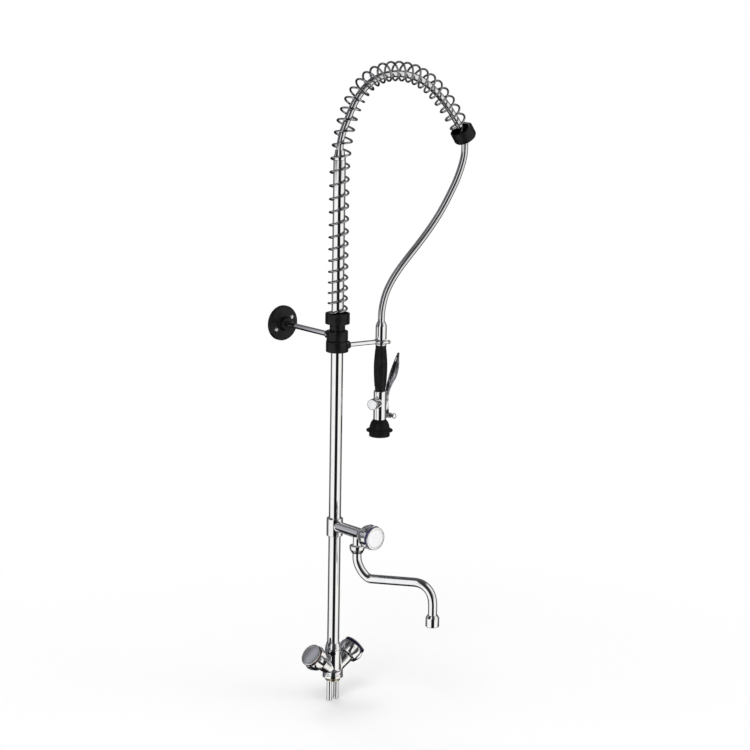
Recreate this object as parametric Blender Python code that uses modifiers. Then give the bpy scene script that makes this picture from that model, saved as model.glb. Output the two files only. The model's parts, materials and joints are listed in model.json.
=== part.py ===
"""Pre rinse faucet: deck mixer, riser with swing spout, spring gantry and hand spray.

Metres, +Z up. The origin is the centre of the seat on the deck. The wall bracket
points along +Y, the spout tap along -Y, and the two mixer taps lie in the XZ plane.
The spring gantry and the handset stand in a plane of their own, turned about Z.
"""
import math

import bmesh
import bpy
from mathutils import Matrix, Vector

# ---------------------------------------------------------------- driving sizes
GAP = 0.0003                 # between pieces that touch
FACETS = 16                  # sides of a round piece
WIDE_FACETS = 20             # sides of a wide round piece
SMALL_FACETS = 12            # sides of a small round piece
MERGE = 0.00001

# Heights above the deck that place the groups
TEE_ARM_HEIGHT = 0.2955      # spout tap's axis
HOOK_HEIGHT = 0.639          # hook, and the neck of the handset in it
ARCH_START_HEIGHT = 0.940    # where the spring leaves the riser's line

# Deck seat and mixer body
BASE_RADIUS = 0.0195
BASE_RING_HEIGHT = 0.0045
SPIGOT_RADIUS = 0.0142
SPIGOT_DEPTH = 0.007
SEAL_WIDTH = 0.0034
SEAL_THICKNESS = 0.0012
INLET_RADIUS = 0.005
INLET_WALL = 0.0012
INLET_OFFSET = 0.008
INLET_REACH = 0.045          # below the deck
INLET_SEAT = 0.0075          # into the mixer body
TRUNK_RADIUS = 0.0155
TRUNK_TOP = 0.054
ARM_RISE = 38.0              # degrees above level
ARM_CENTRE_HEIGHT = 0.010    # where the arm axes meet
ARM_START = 0.012
ARM_LENGTH = 0.041
ARM_ROOT_RADIUS = 0.0125
ARM_END_RADIUS = 0.014

# Riser
RISER_RADIUS = 0.0115
RISER_WALL = 0.0015
RISER_SEAT = 0.016           # into the mixer body
RISER_RISE = 0.045           # past the start of the arch
RISER_TOP = ARCH_START_HEIGHT + RISER_RISE
RISER_NUT_HEIGHT = 0.013
RISER_NUT_TOP_RADIUS = 0.0128
SET_SCREW_RADIUS = 0.0047
SET_SCREW_HEIGHT = 0.0487
SET_SCREW_TURN = -130.5      # degrees about Z from +X
HEX_SOCKET_RADIUS = 0.0026
HEX_SOCKET_DEPTH = 0.0016

# Tee with the spout tap
TEE_BELOW_ARM = 0.0195
TEE_ABOVE_ARM = 0.0155
TEE_BOTTOM = TEE_ARM_HEIGHT - TEE_BELOW_ARM
TEE_TOP = TEE_ARM_HEIGHT + TEE_ABOVE_ARM
TEE_RADIUS = 0.0155
TEE_SEAT = 0.0145            # each riser end into the sleeve
TEE_ARM_RADIUS = 0.01025
TAP_CENTRE_REACH = 0.049     # from the riser to the tap's own datum
TAP_HEAD_START = 0.028       # along the tap axis from its datum
TAP_HEAD_TAPER = 0.006

# Taps, along each tap's own axis
SOCKET_START = 0.024
SOCKET_RADIUS = 0.0093
CARTRIDGE_HEX_RADIUS = 0.0115
CARTRIDGE_HEX_HEIGHT = 0.0037
CARTRIDGE_NECK_RADIUS = 0.007
CARTRIDGE_NECK_HEIGHT = 0.005
SPINDLE_RADIUS = 0.004
SPINDLE_START = 0.032
SPINDLE_LENGTH = 0.030
KNOB_START = 0.042
KNOB_LENGTH = 0.0223
KNOB_BACK_RADIUS = 0.0198
KNOB_CREST_RADIUS = 0.0240
KNOB_FRONT_RADIUS = 0.0218
KNOB_CAVITY_RADIUS = 0.016
KNOB_CAVITY_DEPTH = 0.012
KNOB_NECK_RADIUS = 0.017
KNOB_NECK_LENGTH = 0.0034
KNOB_FLUTES = 8
FLUTE_RADIUS = 0.0075
FLUTE_DEPTH = 0.0034
INDEX_RING_RADIUS = 0.0213
BEZEL_RADIUS = 0.0215
BEZEL_HEIGHT = 0.0024
BEZEL_FLOOR = 0.0008
DISC_RADIUS = 0.0172
DISC_HEIGHT = 0.0008
DISC_CROWN = 0.0012

# Swing spout
SPOUT_REACH_FROM_RISER = 0.066
SPOUT_TURN = 37.0            # degrees from -Y towards +X
SPOUT_RADIUS = 0.0085
SPOUT_BORE_RADIUS = 0.0068
SPOUT_REACH = 0.1455
SPOUT_ARM_DROP = 0.0865      # below the tee arm's axis
SPOUT_END_DROP = 0.1625
SPOUT_ARM_HEIGHT = TEE_ARM_HEIGHT - SPOUT_ARM_DROP
SPOUT_END_HEIGHT = TEE_ARM_HEIGHT - SPOUT_END_DROP
SPOUT_FIRST_BEND = (0.028, 0.040)    # along and down
SPOUT_SECOND_BEND = (0.036, 0.042)
STUB_RADIUS = 0.0083
STUB_THREAD_RADIUS = 0.0106
STUB_DROP = 0.0335           # below the tee arm's axis
STUB_END = TEE_ARM_HEIGHT - STUB_DROP
STUB_BORE_RADIUS = 0.0069
STUB_BORE_DEPTH = 0.014
SPOUT_NUT_RADIUS = 0.0144
SPOUT_NUT_DROP = 0.0235      # below the tee arm's axis
SPOUT_NUT_HEIGHT = 0.0153
SPOUT_NUT_TOP = TEE_ARM_HEIGHT - SPOUT_NUT_DROP
SPOUT_NUT_BOTTOM = SPOUT_NUT_TOP - SPOUT_NUT_HEIGHT
SPOUT_FLANGE_HEIGHT = 0.0022
SPOUT_NIPPLE_RADIUS = 0.0052
SPOUT_NIPPLE_BORE = 0.0038
SPOUT_NIPPLE_LENGTH = 0.0083
O_RING_WIDTH = 0.0011
AERATOR_RADIUS = 0.0128
AERATOR_TOP_RADIUS = 0.0104
AERATOR_LENGTH = 0.0225
AERATOR_OVERHANG = 0.0068    # past the end of the tube
AERATOR_BOTTOM = SPOUT_END_HEIGHT - AERATOR_OVERHANG
AERATOR_BORE_RADIUS = 0.0095
INSERT_THICKNESS = 0.0035

# Gantry plane and hook
GANTRY_TURN = -9.0           # degrees about Z from +X
HANDSET_REACH = 0.095        # handset axis from the riser axis
HOOK_COLLAR_DROP = 0.011     # below the hook's axis
HOOK_COLLAR_BOTTOM = HOOK_HEIGHT - HOOK_COLLAR_DROP
HOOK_COLLAR_HEIGHT = 0.021
HOOK_COLLAR_RADIUS = 0.021
HOOK_BOSS_RADIUS = 0.0075
HOOK_BOSS_REACH = 0.026
HOOK_ROD_RADIUS = 0.0043
FORK_WIRE_RADIUS = 0.0032
FORK_CLEARANCE = 0.0005
FORK_TIP_REACH = 0.0092      # beyond the handset axis
FORK_BALL_RADIUS = 0.0037
ROD_SEAT = 0.012             # into a collar's boss

# Wall bracket
WALL_RING_HEIGHT = 0.0187
WALL_RING_RADIUS = 0.020
WALL_BOSS_RADIUS = 0.008
WALL_BOSS_REACH = 0.029
WALL_ROD_RADIUS = 0.005
WALL_ROD_RISE = 0.018        # above the hook's axis
WALL_ROD_HEIGHT = HOOK_HEIGHT + WALL_ROD_RISE
WALL_REACH = 0.166           # riser axis to wall
FLANGE_RADIUS = 0.0335
FLANGE_THICKNESS = 0.008
FLANGE_HUB_RADIUS = 0.013
FLANGE_HUB_HEIGHT = 0.0095
WALL_SCREW_CIRCLE = 0.021
WALL_SCREW_TURN = 29.0       # degrees from +X in the wall plane
WALL_SCREW_RADIUS = 0.0024
WALL_SCREW_HEAD_RADIUS = 0.0045
WALL_SCREW_HEAD_HEIGHT = 0.0022
GRUB_RADIUS = 0.0024

# Spring seat, spring and end cap
SEAT_NECK_RADIUS = 0.0145
SEAT_NECK_HEIGHT = 0.0127
SEAT_RADIUS = 0.0228
SEAT_HEIGHT = 0.020
SEAT_CUP_DEPTH = 0.011
CUP_RADIUS = 0.0200          # cup that holds an end of the spring
SPRING_RADIUS = 0.017        # to the middle of the wire
SPRING_WIRE_RADIUS = 0.002
SPRING_TURNS = 36
POINTS_PER_TURN = 8
ARCH_RISE = 0.2023                   # of the apex over the start of the arch
CAP_RISE = 0.0888
ARCH_APEX = (0.1132, ARCH_START_HEIGHT + ARCH_RISE)      # along the gantry and up
CAP_TOP = (0.2628, ARCH_START_HEIGHT + CAP_RISE)
CAP_LEAN = 32.0              # degrees from straight down, outwards
CAP_RADIUS = 0.022
CAP_LENGTH = 0.024
CAP_CUP_DEPTH = 0.012
ARCH_HANDLES = (0.130, 0.075, 0.070, 0.085)

# Hose
HOSE_RADIUS = 0.0065
HOSE_DROP = 0.005            # how far the hose hangs off the spring's middle
UNION_RISE = 0.0103          # of the hose's foot over the riser's top
HOSE_START_HEIGHT = RISER_TOP + UNION_RISE
HOSE_EXIT_OUT = 0.0093       # from the top of the cap
HOSE_EXIT_DROP = 0.0288
HOSE_EXIT = (CAP_TOP[0] + HOSE_EXIT_OUT, CAP_TOP[1] - HOSE_EXIT_DROP)
HOSE_SOCKET_DEPTH = 0.008
HOSE_SIDES = 2
HOSE_END = 0.003             # straight run at each end of the free hose
FREE_HOSE_SHARES = (         # of the way from the ferrule's top to the hose's exit, out and up
    (0.9949, 0.9383), (0.9678, 0.8796), (0.9068, 0.7963), (0.8176, 0.7068), (0.7115, 0.6142),
    (0.5855, 0.5247), (0.4433, 0.4367), (0.2925, 0.3503), (0.1553, 0.2623), (0.0593, 0.1759),
    (0.0124, 0.0926), (0.0, 0.0247))

# Handset, down from the hook
FERRULE_RISE = 0.037         # above the hook's axis
FERRULE_DROP = 0.0075
FERRULE_TOP = HOOK_HEIGHT + FERRULE_RISE
FERRULE_RADIUS = 0.0105
FERRULE_NECK_RADIUS = 0.008
FERRULE_BOTTOM = HOOK_HEIGHT - FERRULE_DROP
FERRULE_SOCKET_DEPTH = 0.012
GRIP_LENGTH = 0.0865
GRIP_BOTTOM = FERRULE_BOTTOM - GRIP_LENGTH
GRIP_TOP_RADIUS = 0.0100
GRIP_BELLY_RADIUS = 0.0129
GRIP_BOTTOM_RADIUS = 0.0096
GRIP_TUBE_RADIUS = 0.006
VALVE_TURN = 28.0            # degrees, lever side, from the gantry plane
VALVE_RADIUS = 0.0122
VALVE_LENGTH = 0.055
VALVE_AXIS_RISE = 0.033
VALVE_BOTTOM = GRIP_BOTTOM - VALVE_LENGTH
VALVE_AXIS_HEIGHT = VALVE_BOTTOM + VALVE_AXIS_RISE
BONNET_RADIUS = 0.0105
BONNET_START = 0.0145
BONNET_LENGTH = 0.0160
BONNET_CAVITY_RADIUS = 0.0075
BONNET_CAVITY_LENGTH = 0.0135
VALVE_BOSS_RADIUS = 0.0092
STEM_BOSS_RADIUS = 0.006
STEM_BOSS_REACH = 0.0150
STEM_RADIUS = 0.0025
STEM_FLANGE_RADIUS = 0.0062
STEM_FLANGE_THICKNESS = 0.0015
STEM_CLEARANCE = 0.0003
VALVE_SPRING_RADIUS = 0.0050
VALVE_SPRING_WIRE = 0.0007
VALVE_SPRING_TURNS = 4
LEVER_PIVOT_RISE = 0.003
LEVER_PIVOT = (0.028, VALVE_BOTTOM + LEVER_PIVOT_RISE)   # out from the handset axis and up
LEVER_SHAPE = ((0.0280, 0.0), (0.0262, 0.015), (0.0256, 0.030), (0.0275, 0.045), (0.0335, 0.057),
               (0.0430, 0.068), (0.0520, 0.082), (0.0600, 0.098), (0.0670, 0.114))
LEVER_THICKNESS = 0.0026
LEVER_FOOT_WIDTH = 0.0094
LEVER_LEAF_WIDTH = 0.0174
LEVER_TIP_WIDTH = 0.0060
LEVER_LEAF_START_RISE = 0.043        # above the pivot
LEVER_LEAF_WIDEST_RISE = 0.077
LEVER_EYE_RADIUS = 0.0045
EAR_THICKNESS = 0.003
EAR_RADIUS = 0.005
PIN_RADIUS = 0.002
PIN_HEAD_RADIUS = 0.0026
PIN_HEAD_LENGTH = 0.0046
RING_RADIUS = 0.0045
RING_WIRE_RADIUS = 0.0008
RING_HOLE_RADIUS = 0.0016
RING_SHIFT = 0.0004          # keeps the curved wire in the middle of its hole
VALVE_SPIGOT_RADIUS = 0.010
VALVE_SPIGOT_LENGTH = 0.024
BUMPER_TOP_RADIUS = 0.0125
BUMPER_DOME_RADIUS = 0.0194
BUMPER_FLANGE_RADIUS = 0.0252
BUMPER_SKIRT_RADIUS = 0.0196
BUMPER_LENGTH = 0.0322
BUMPER_FLANGE_DROP = 0.0207  # below the bumper's top
BUMPER_MOUTH_RADIUS = 0.016
BUMPER_MOUTH_DEPTH = 0.0070
SPRAY_FACE_THICKNESS = 0.0048
SPRAY_NOZZLES = 8
NOZZLE_RADIUS = 0.0010
NOZZLE_CIRCLE = 0.0095
NOZZLE_DEPTH = 0.0015

# ---------------------------------------------------------------- finishes
CHROME = ("chrome", (0.80, 0.81, 0.83), 0.06, 1.0)
BRASS = ("brass", (0.78, 0.66, 0.42), 0.30, 1.0)
BLACK_PLASTIC = ("black_plastic", (0.015, 0.015, 0.016), 0.35, 0.0)
BLACK_RUBBER = ("black_rubber", (0.012, 0.012, 0.012), 0.60, 0.0)
WHITE_PLASTIC = ("white_plastic", (0.86, 0.86, 0.88), 0.25, 0.0)
BLUE_PLASTIC = ("blue_plastic", (0.03, 0.04, 0.22), 0.30, 0.0)
RED_PLASTIC = ("red_plastic", (0.30, 0.03, 0.03), 0.30, 0.0)
STEEL = ("steel", (0.62, 0.62, 0.62), 0.30, 1.0)
HOSE_GREY = ("hose_grey", (0.45, 0.45, 0.46), 0.40, 0.6)


# ---------------------------------------------------------------- scene helpers
def clear_scene():
    """Remove whatever the file starts with."""
    for found in list(bpy.data.objects):
        bpy.data.objects.remove(found, do_unlink=True)


def make_collection(name):
    """A collection under the scene."""
    collection = bpy.data.collections.new(name)
    bpy.context.scene.collection.children.link(collection)
    return collection


def make_material(finish):
    """The Principled material of a finish, made once."""
    name, colour, roughness, metallic = finish
    found = bpy.data.materials.get(name)
    if found:
        return found
    material = bpy.data.materials.new(name)
    material.use_nodes = True
    shader = material.node_tree.nodes["Principled BSDF"]
    shader.inputs["Base Color"].default_value = (*colour, 1.0)
    shader.inputs["Roughness"].default_value = roughness
    shader.inputs["Metallic"].default_value = metallic
    material.diffuse_color = (*colour, 1.0)
    return material


def make_frame(name, location=(0, 0, 0), rotation=None, parent=None):
    """An empty that carries the pieces of one sub-assembly."""
    frame = bpy.data.objects.new(name, None)
    PARTS.objects.link(frame)
    frame.parent = parent
    frame.location = location
    if rotation is not None:
        frame.rotation_mode = "QUATERNION"
        frame.rotation_quaternion = rotation
    return frame


def turned_about_z(degrees):
    """The rotation of a frame turned about Z."""
    return Matrix.Rotation(math.radians(degrees), 4, "Z").to_quaternion()


def aimed(direction):
    """The rotation that brings Z onto a direction."""
    return Vector((0, 0, 1)).rotation_difference(Vector(direction))


def add_object(name, data, finish, parent, cutter=False):
    """Link an object, as a piece with its finish or as a hidden cutter."""
    item = bpy.data.objects.new(name, data)
    (CUTTERS if cutter else PARTS).objects.link(item)
    item.parent = parent
    if cutter:
        item.hide_render = True
        item.display_type = "WIRE"
    else:
        data.materials.append(make_material(finish))
    return item


def place(item, location=(0, 0, 0), rotation=None):
    """Put an object at its place in its parent's frame."""
    item.location = location
    if rotation is not None:
        item.rotation_mode = "QUATERNION"
        item.rotation_quaternion = rotation
    return item


# ---------------------------------------------------------------- shape helpers
def turned(name, outline, finish=None, parent=None, closed=False, facets=FACETS, cutter=False):
    """A turned piece: the outline, as (radius, height) points, screwed round Z.

    The outline runs down its outer side. Open outlines start and end on the axis.
    """
    mesh = bpy.data.meshes.new(name)
    points = [(radius, 0.0, height) for radius, height in outline]
    edges = [(i, i + 1) for i in range(len(points) - 1)]
    if closed:
        edges.append((len(points) - 1, 0))
    mesh.from_pydata(points, edges, [])
    item = add_object(name, mesh, finish, parent, cutter)
    screw = item.modifiers.new("Turn", "SCREW")
    screw.steps = screw.render_steps = facets
    screw.use_merge_vertices = True
    screw.merge_threshold = MERGE
    screw.use_smooth_shade = True
    return item


def ring_outline(outer, inner, top, bottom, chamfer=0.0):
    """A ring's closed section with chamfered outer edges."""
    if not chamfer:
        return [(outer, top), (outer, bottom), (inner, bottom), (inner, top)]
    return [(outer - chamfer, top), (outer, top - chamfer), (outer, bottom + chamfer),
            (outer - chamfer, bottom), (inner, bottom), (inner, top)]


def rod_outline(radius, top, bottom, chamfer=0.0):
    """A solid rod's section, from axis to axis."""
    if not chamfer:
        return [(0, top), (radius, top), (radius, bottom), (0, bottom)]
    return [(0, top), (radius - chamfer, top), (radius, top - chamfer),
            (radius, bottom + chamfer), (radius - chamfer, bottom), (0, bottom)]


def cylinder_cutter(name, radius, start, end, parent, location=(0, 0, 0), rotation=None,
                    facets=FACETS):
    """A hidden cylinder along its own Z, for a Boolean."""
    item = turned(name, rod_outline(radius, end, start), parent=parent, facets=facets, cutter=True)
    return place(item, location, rotation)


def rods(name, parent, specs):
    """One hidden object of separate rods, each (radius, start, end, place, direction, facets)."""
    mesh = bpy.data.meshes.new(name)
    shape = bmesh.new()
    for radius, start, end, spot, direction, facets in specs:
        made = bmesh.ops.create_cone(shape, cap_ends=True, segments=facets, radius1=radius,
                                     radius2=radius, depth=end - start)
        lift = Matrix.Translation((0, 0, (start + end) / 2))
        lift = lift @ Matrix.Rotation(math.pi / facets, 4, "Z")
        turn = aimed(direction).to_matrix().to_4x4()
        bmesh.ops.transform(shape, matrix=Matrix.Translation(spot) @ turn @ lift,
                            verts=made["verts"])
    shape.to_mesh(mesh)
    shape.free()
    return add_object(name, mesh, None, parent, cutter=True)


def boolean(item, tool, operation="DIFFERENCE"):
    """Cut an object by a hidden one, or join it to that one."""
    step = item.modifiers.new(operation.title(), "BOOLEAN")
    step.operation = operation
    step.solver = "EXACT"
    step.object = tool
    return item


def curve_mesh(name, curve, finish, parent, cutter=False):
    """The closed mesh of a curve, its caps welded on."""
    holder = bpy.data.objects.new(name + "_curve", curve)
    bpy.context.scene.collection.objects.link(holder)
    view = bpy.context.evaluated_depsgraph_get()
    mesh = bpy.data.meshes.new_from_object(holder.evaluated_get(view))
    bpy.data.objects.remove(holder, do_unlink=True)
    bpy.data.curves.remove(curve)
    shape = bmesh.new()
    shape.from_mesh(mesh)
    bmesh.ops.remove_doubles(shape, verts=shape.verts, dist=MERGE)
    bmesh.ops.recalc_face_normals(shape, faces=shape.faces)
    shape.to_mesh(mesh)
    shape.free()
    mesh.name = name
    mesh.materials.clear()
    return add_object(name, mesh, finish, parent, cutter)


def tube(name, points, radius, finish, parent, resolution=2, cutter=False, closed=False):
    """A round tube or wire along points, with 4 + 2 x resolution sides."""
    curve = bpy.data.curves.new(name, "CURVE")
    curve.dimensions = "3D"
    curve.bevel_depth = radius
    curve.bevel_resolution = resolution
    curve.use_fill_caps = not closed
    curve.twist_mode = "MINIMUM"
    spline = curve.splines.new("POLY")
    spline.points.add(len(points) - 1)
    spline.use_cyclic_u = closed
    for target, point in zip(spline.points, points):
        target.co = (*point, 1.0)
    return curve_mesh(name, curve, finish, parent, cutter)


def flat_outline(name, loops, thickness, parent, rotation, location=(0, 0, 0), finish=None,
                 cutter=False):
    """Flat loops in their own XY, outline then holes, thickened both ways along Z."""
    curve = bpy.data.curves.new(name, "CURVE")
    curve.dimensions = "2D"
    curve.fill_mode = "BOTH"
    curve.extrude = thickness / 2
    for loop in loops:
        spline = curve.splines.new("POLY")
        spline.points.add(len(loop) - 1)
        spline.use_cyclic_u = True
        for target, (x, y) in zip(spline.points, loop):
            target.co = (x, y, 0.0, 1.0)
    return place(curve_mesh(name, curve, finish, parent, cutter), location, rotation)


def arc_points(centre, radius, start, end, steps):
    """Points on an arc, angles in degrees."""
    found = []
    for i in range(steps + 1):
        angle = math.radians(start + (end - start) * i / steps)
        found.append((centre[0] + radius * math.cos(angle), centre[1] + radius * math.sin(angle)))
    return found


def bezier_point(p0, p1, p2, p3, t):
    """A point on a cubic curve in the plane."""
    s = 1.0 - t
    weights = (s ** 3, 3 * s * s * t, 3 * s * t * t, t ** 3)
    return tuple(sum(w * p[i] for w, p in zip(weights, (p0, p1, p2, p3))) for i in range(2))


def smooth_route(points, spacing):
    """Points at an even spacing on the smooth curve through a list of points."""
    ends = [tuple(2 * a - b for a, b in zip(points[0], points[1]))]
    ends.append(tuple(2 * a - b for a, b in zip(points[-1], points[-2])))
    chain = [ends[0], *points, ends[1]]
    dense = []
    steps = 16
    for i in range(1, len(chain) - 2):
        p0, p1, p2, p3 = chain[i - 1:i + 3]
        for k in range(steps):
            t = k / steps
            dense.append(tuple(
                0.5 * (2 * b + (c - a) * t + (2 * a - 5 * b + 4 * c - d) * t * t
                       + (3 * b - a - 3 * c + d) * t ** 3)
                for a, b, c, d in zip(p0, p1, p2, p3)))
    dense.append(tuple(points[-1]))
    return even_points(dense, spacing)


def lengths_along(points):
    """The length from the first point to each point."""
    found = [0.0]
    for a, b in zip(points, points[1:]):
        found.append(found[-1] + math.dist(a, b))
    return found


def point_at(points, lengths, distance):
    """The point at a length along a chain of points."""
    distance = min(max(distance, 0.0), lengths[-1])
    low, high = 0, len(points) - 1
    while high - low > 1:
        middle = (low + high) // 2
        if lengths[middle] <= distance:
            low = middle
        else:
            high = middle
    share = (distance - lengths[low]) / (lengths[high] - lengths[low])
    return tuple(a + (b - a) * share for a, b in zip(points[low], points[high]))


def even_points(points, spacing):
    """The same chain with its points evenly spaced."""
    lengths = lengths_along(points)
    count = max(2, round(lengths[-1] / spacing))
    return [point_at(points, lengths, lengths[-1] * i / count) for i in range(count + 1)]


def smooth_step(value):
    """Zero to one with level ends."""
    value = min(max(value, 0.0), 1.0)
    return value * value * (3 - 2 * value)


def in_gantry(point, across=0.0):
    """A point of the gantry plane, as (x, y, z) in the gantry frame."""
    return (point[0], across, point[1])


# ---------------------------------------------------------------- sizes that follow
BODY_BOTTOM = BASE_RING_HEIGHT + GAP
RISER_BOTTOM = TRUNK_TOP - RISER_SEAT
SOCKET_FIT = RISER_RADIUS + GAP
HOOK_COLLAR_TOP = HOOK_COLLAR_BOTTOM + HOOK_COLLAR_HEIGHT
WALL_RING_BOTTOM = HOOK_COLLAR_TOP + GAP
WALL_RING_TOP = WALL_RING_BOTTOM + WALL_RING_HEIGHT
SEAT_BOTTOM = WALL_RING_TOP + GAP
SEAT_RING_BOTTOM = SEAT_BOTTOM + SEAT_NECK_HEIGHT
SEAT_TOP = SEAT_RING_BOTTOM + SEAT_HEIGHT
SEAT_FLOOR = SEAT_TOP - SEAT_CUP_DEPTH
CAP_ALONG = (math.sin(math.radians(CAP_LEAN)), -math.cos(math.radians(CAP_LEAN)))
SPRING_BOTTOM = SEAT_FLOOR + SPRING_WIRE_RADIUS + GAP
SPRING_TOP_INSET = CAP_CUP_DEPTH - SPRING_WIRE_RADIUS - 2 * GAP
KNOB_FRONT = KNOB_START + KNOB_LENGTH
INDEX_TOP = KNOB_FRONT + KNOB_NECK_LENGTH
BEZEL_BOTTOM = INDEX_TOP + GAP
FORK_WIDTH = FERRULE_NECK_RADIUS + FORK_CLEARANCE + FORK_WIRE_RADIUS
NECK_HALF_HEIGHT = FORK_BALL_RADIUS + GAP
LEVER_LINE = tuple((out, LEVER_PIVOT[1] + rise) for out, rise in LEVER_SHAPE)
LEVER_LEAF_START = LEVER_PIVOT[1] + LEVER_LEAF_START_RISE
LEVER_LEAF_WIDEST = LEVER_PIVOT[1] + LEVER_LEAF_WIDEST_RISE
EAR_INSIDE = LEVER_FOOT_WIDTH / 2 + GAP
STEM_TIP = LEVER_LINE[2][0] - LEVER_THICKNESS / 2 - GAP


# ---------------------------------------------------------------- mixer
def make_base(frame):
    """The ring on the deck, its seal, the brass spigot and the two inlet tubes."""
    seal_outer = BASE_RADIUS - 0.0008 - GAP
    seal_inner = seal_outer - SEAL_WIDTH
    bore = SPIGOT_RADIUS + GAP
    turned("base_ring", [
        (BASE_RADIUS - 0.0008, BASE_RING_HEIGHT), (BASE_RADIUS, BASE_RING_HEIGHT - 0.0008),
        (BASE_RADIUS, 0), (seal_outer + GAP, 0), (seal_outer + GAP, SEAL_THICKNESS + GAP),
        (seal_inner - GAP, SEAL_THICKNESS + GAP), (seal_inner - GAP, 0), (bore, 0),
        (bore, BASE_RING_HEIGHT)], CHROME, frame, closed=True)
    turned("deck_seal", ring_outline(seal_outer, seal_inner, SEAL_THICKNESS, 0),
           BLACK_RUBBER, frame, closed=True)
    spigot = turned("body_spigot", rod_outline(SPIGOT_RADIUS, BODY_BOTTOM - GAP, -SPIGOT_DEPTH),
                    BRASS, frame)
    for side, name in ((-1, "inlet_tube_hot"), (1, "inlet_tube_cold")):
        x = side * INLET_OFFSET
        cutter = cylinder_cutter(name + "_hole", INLET_RADIUS + GAP, -2 * SPIGOT_DEPTH,
                                 2 * BODY_BOTTOM, frame, (x, 0, 0), facets=SMALL_FACETS)
        boolean(spigot, cutter)
        pipe = turned(name, ring_outline(INLET_RADIUS, INLET_RADIUS - INLET_WALL,
                                         BODY_BOTTOM + INLET_SEAT - GAP, -INLET_REACH),
                      CHROME, frame, closed=True, facets=SMALL_FACETS)
        place(pipe, (x, 0, 0))


def make_mixer_body(frame, tap_frames):
    """The casting: trunk with beads, two raised arms, and its sockets."""
    bead = BASE_RADIUS
    groove = BASE_RADIUS - 0.0019
    body = turned("mixer_body", [
        (0, TRUNK_TOP), (TRUNK_RADIUS - 0.0008, TRUNK_TOP), (TRUNK_RADIUS, TRUNK_TOP - 0.0008),
        (TRUNK_RADIUS, BODY_BOTTOM + 0.0102), (bead - 0.0006, BODY_BOTTOM + 0.0077),
        (bead, BODY_BOTTOM + 0.0060), (bead - 0.0003, BODY_BOTTOM + 0.0044),
        (groove, BODY_BOTTOM + 0.0034), (groove, BODY_BOTTOM + 0.0024),
        (bead, BODY_BOTTOM + 0.0016), (bead, BODY_BOTTOM),
        (0, BODY_BOTTOM)], CHROME, frame)
    for name, tap_frame in tap_frames.items():
        arm = turned(name + "_arm", [
            (0, ARM_LENGTH), (ARM_END_RADIUS - 0.0008, ARM_LENGTH),
            (ARM_END_RADIUS, ARM_LENGTH - 0.0008), (ARM_END_RADIUS, ARM_LENGTH - 0.005),
            (ARM_ROOT_RADIUS, ARM_START + 0.008), (ARM_ROOT_RADIUS, ARM_START),
            (0, ARM_START)], parent=tap_frame, cutter=True)
        boolean(body, arm, "UNION")
    rise = math.radians(ARM_RISE)
    sockets = [(SOCKET_FIT, RISER_BOTTOM, 2 * TRUNK_TOP, (0, 0, 0), (0, 0, 1), FACETS)]
    for side in (-1, 1):
        along = (side * math.cos(rise), 0, math.sin(rise))
        sockets.append((SOCKET_RADIUS, SOCKET_START, 2 * ARM_LENGTH, (0, 0, ARM_CENTRE_HEIGHT),
                        along, FACETS))
        sockets.append((INLET_RADIUS + GAP, -0.01, BODY_BOTTOM + INLET_SEAT,
                        (side * INLET_OFFSET, 0, 0), (0, 0, 1), SMALL_FACETS))
    boolean(body, rods("mixer_sockets", frame, sockets))
    boolean(body, rods("set_screw_hole", frame, [
        (SET_SCREW_RADIUS + GAP, SOCKET_FIT / 2, 2 * TRUNK_RADIUS, (0, 0, SET_SCREW_HEIGHT),
         set_screw_direction(), SMALL_FACETS)]))


def set_screw_direction():
    """The way the riser's set screw points, outwards."""
    return turned_about_z(SET_SCREW_TURN) @ Vector((1, 0, 0))


def make_riser(frame):
    """The two riser tubes, the collar nut and its set screw."""
    bore = RISER_RADIUS - RISER_WALL
    turned("riser_lower", ring_outline(RISER_RADIUS, bore, TEE_BOTTOM + TEE_SEAT - GAP,
                                       RISER_BOTTOM + GAP), CHROME, frame, closed=True)
    turned("riser_upper", ring_outline(RISER_RADIUS, bore, RISER_TOP,
                                       TEE_TOP - TEE_SEAT + GAP), CHROME, frame, closed=True)
    bottom = TRUNK_TOP + GAP
    top = bottom + RISER_NUT_HEIGHT
    turned("riser_nut", [
        (RISER_NUT_TOP_RADIUS - 0.0004, top), (RISER_NUT_TOP_RADIUS, top - 0.0006),
        (TRUNK_RADIUS - 0.0002, bottom + 0.002), (TRUNK_RADIUS - 0.0002, bottom),
        (SOCKET_FIT, bottom), (SOCKET_FIT, top)], CHROME, frame, closed=True)
    direction = set_screw_direction()
    screw = turned("riser_set_screw", rod_outline(SET_SCREW_RADIUS, TRUNK_RADIUS - GAP,
                                                  RISER_RADIUS + 2 * GAP),
                   BLACK_PLASTIC, frame, facets=SMALL_FACETS)
    place(screw, (0, 0, SET_SCREW_HEIGHT), aimed(direction))
    socket = cylinder_cutter("set_screw_socket", HEX_SOCKET_RADIUS, TRUNK_RADIUS - HEX_SOCKET_DEPTH,
                             2 * TRUNK_RADIUS, frame, (0, 0, SET_SCREW_HEIGHT),
                             aimed(direction), facets=6)
    boolean(screw, socket)


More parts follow.
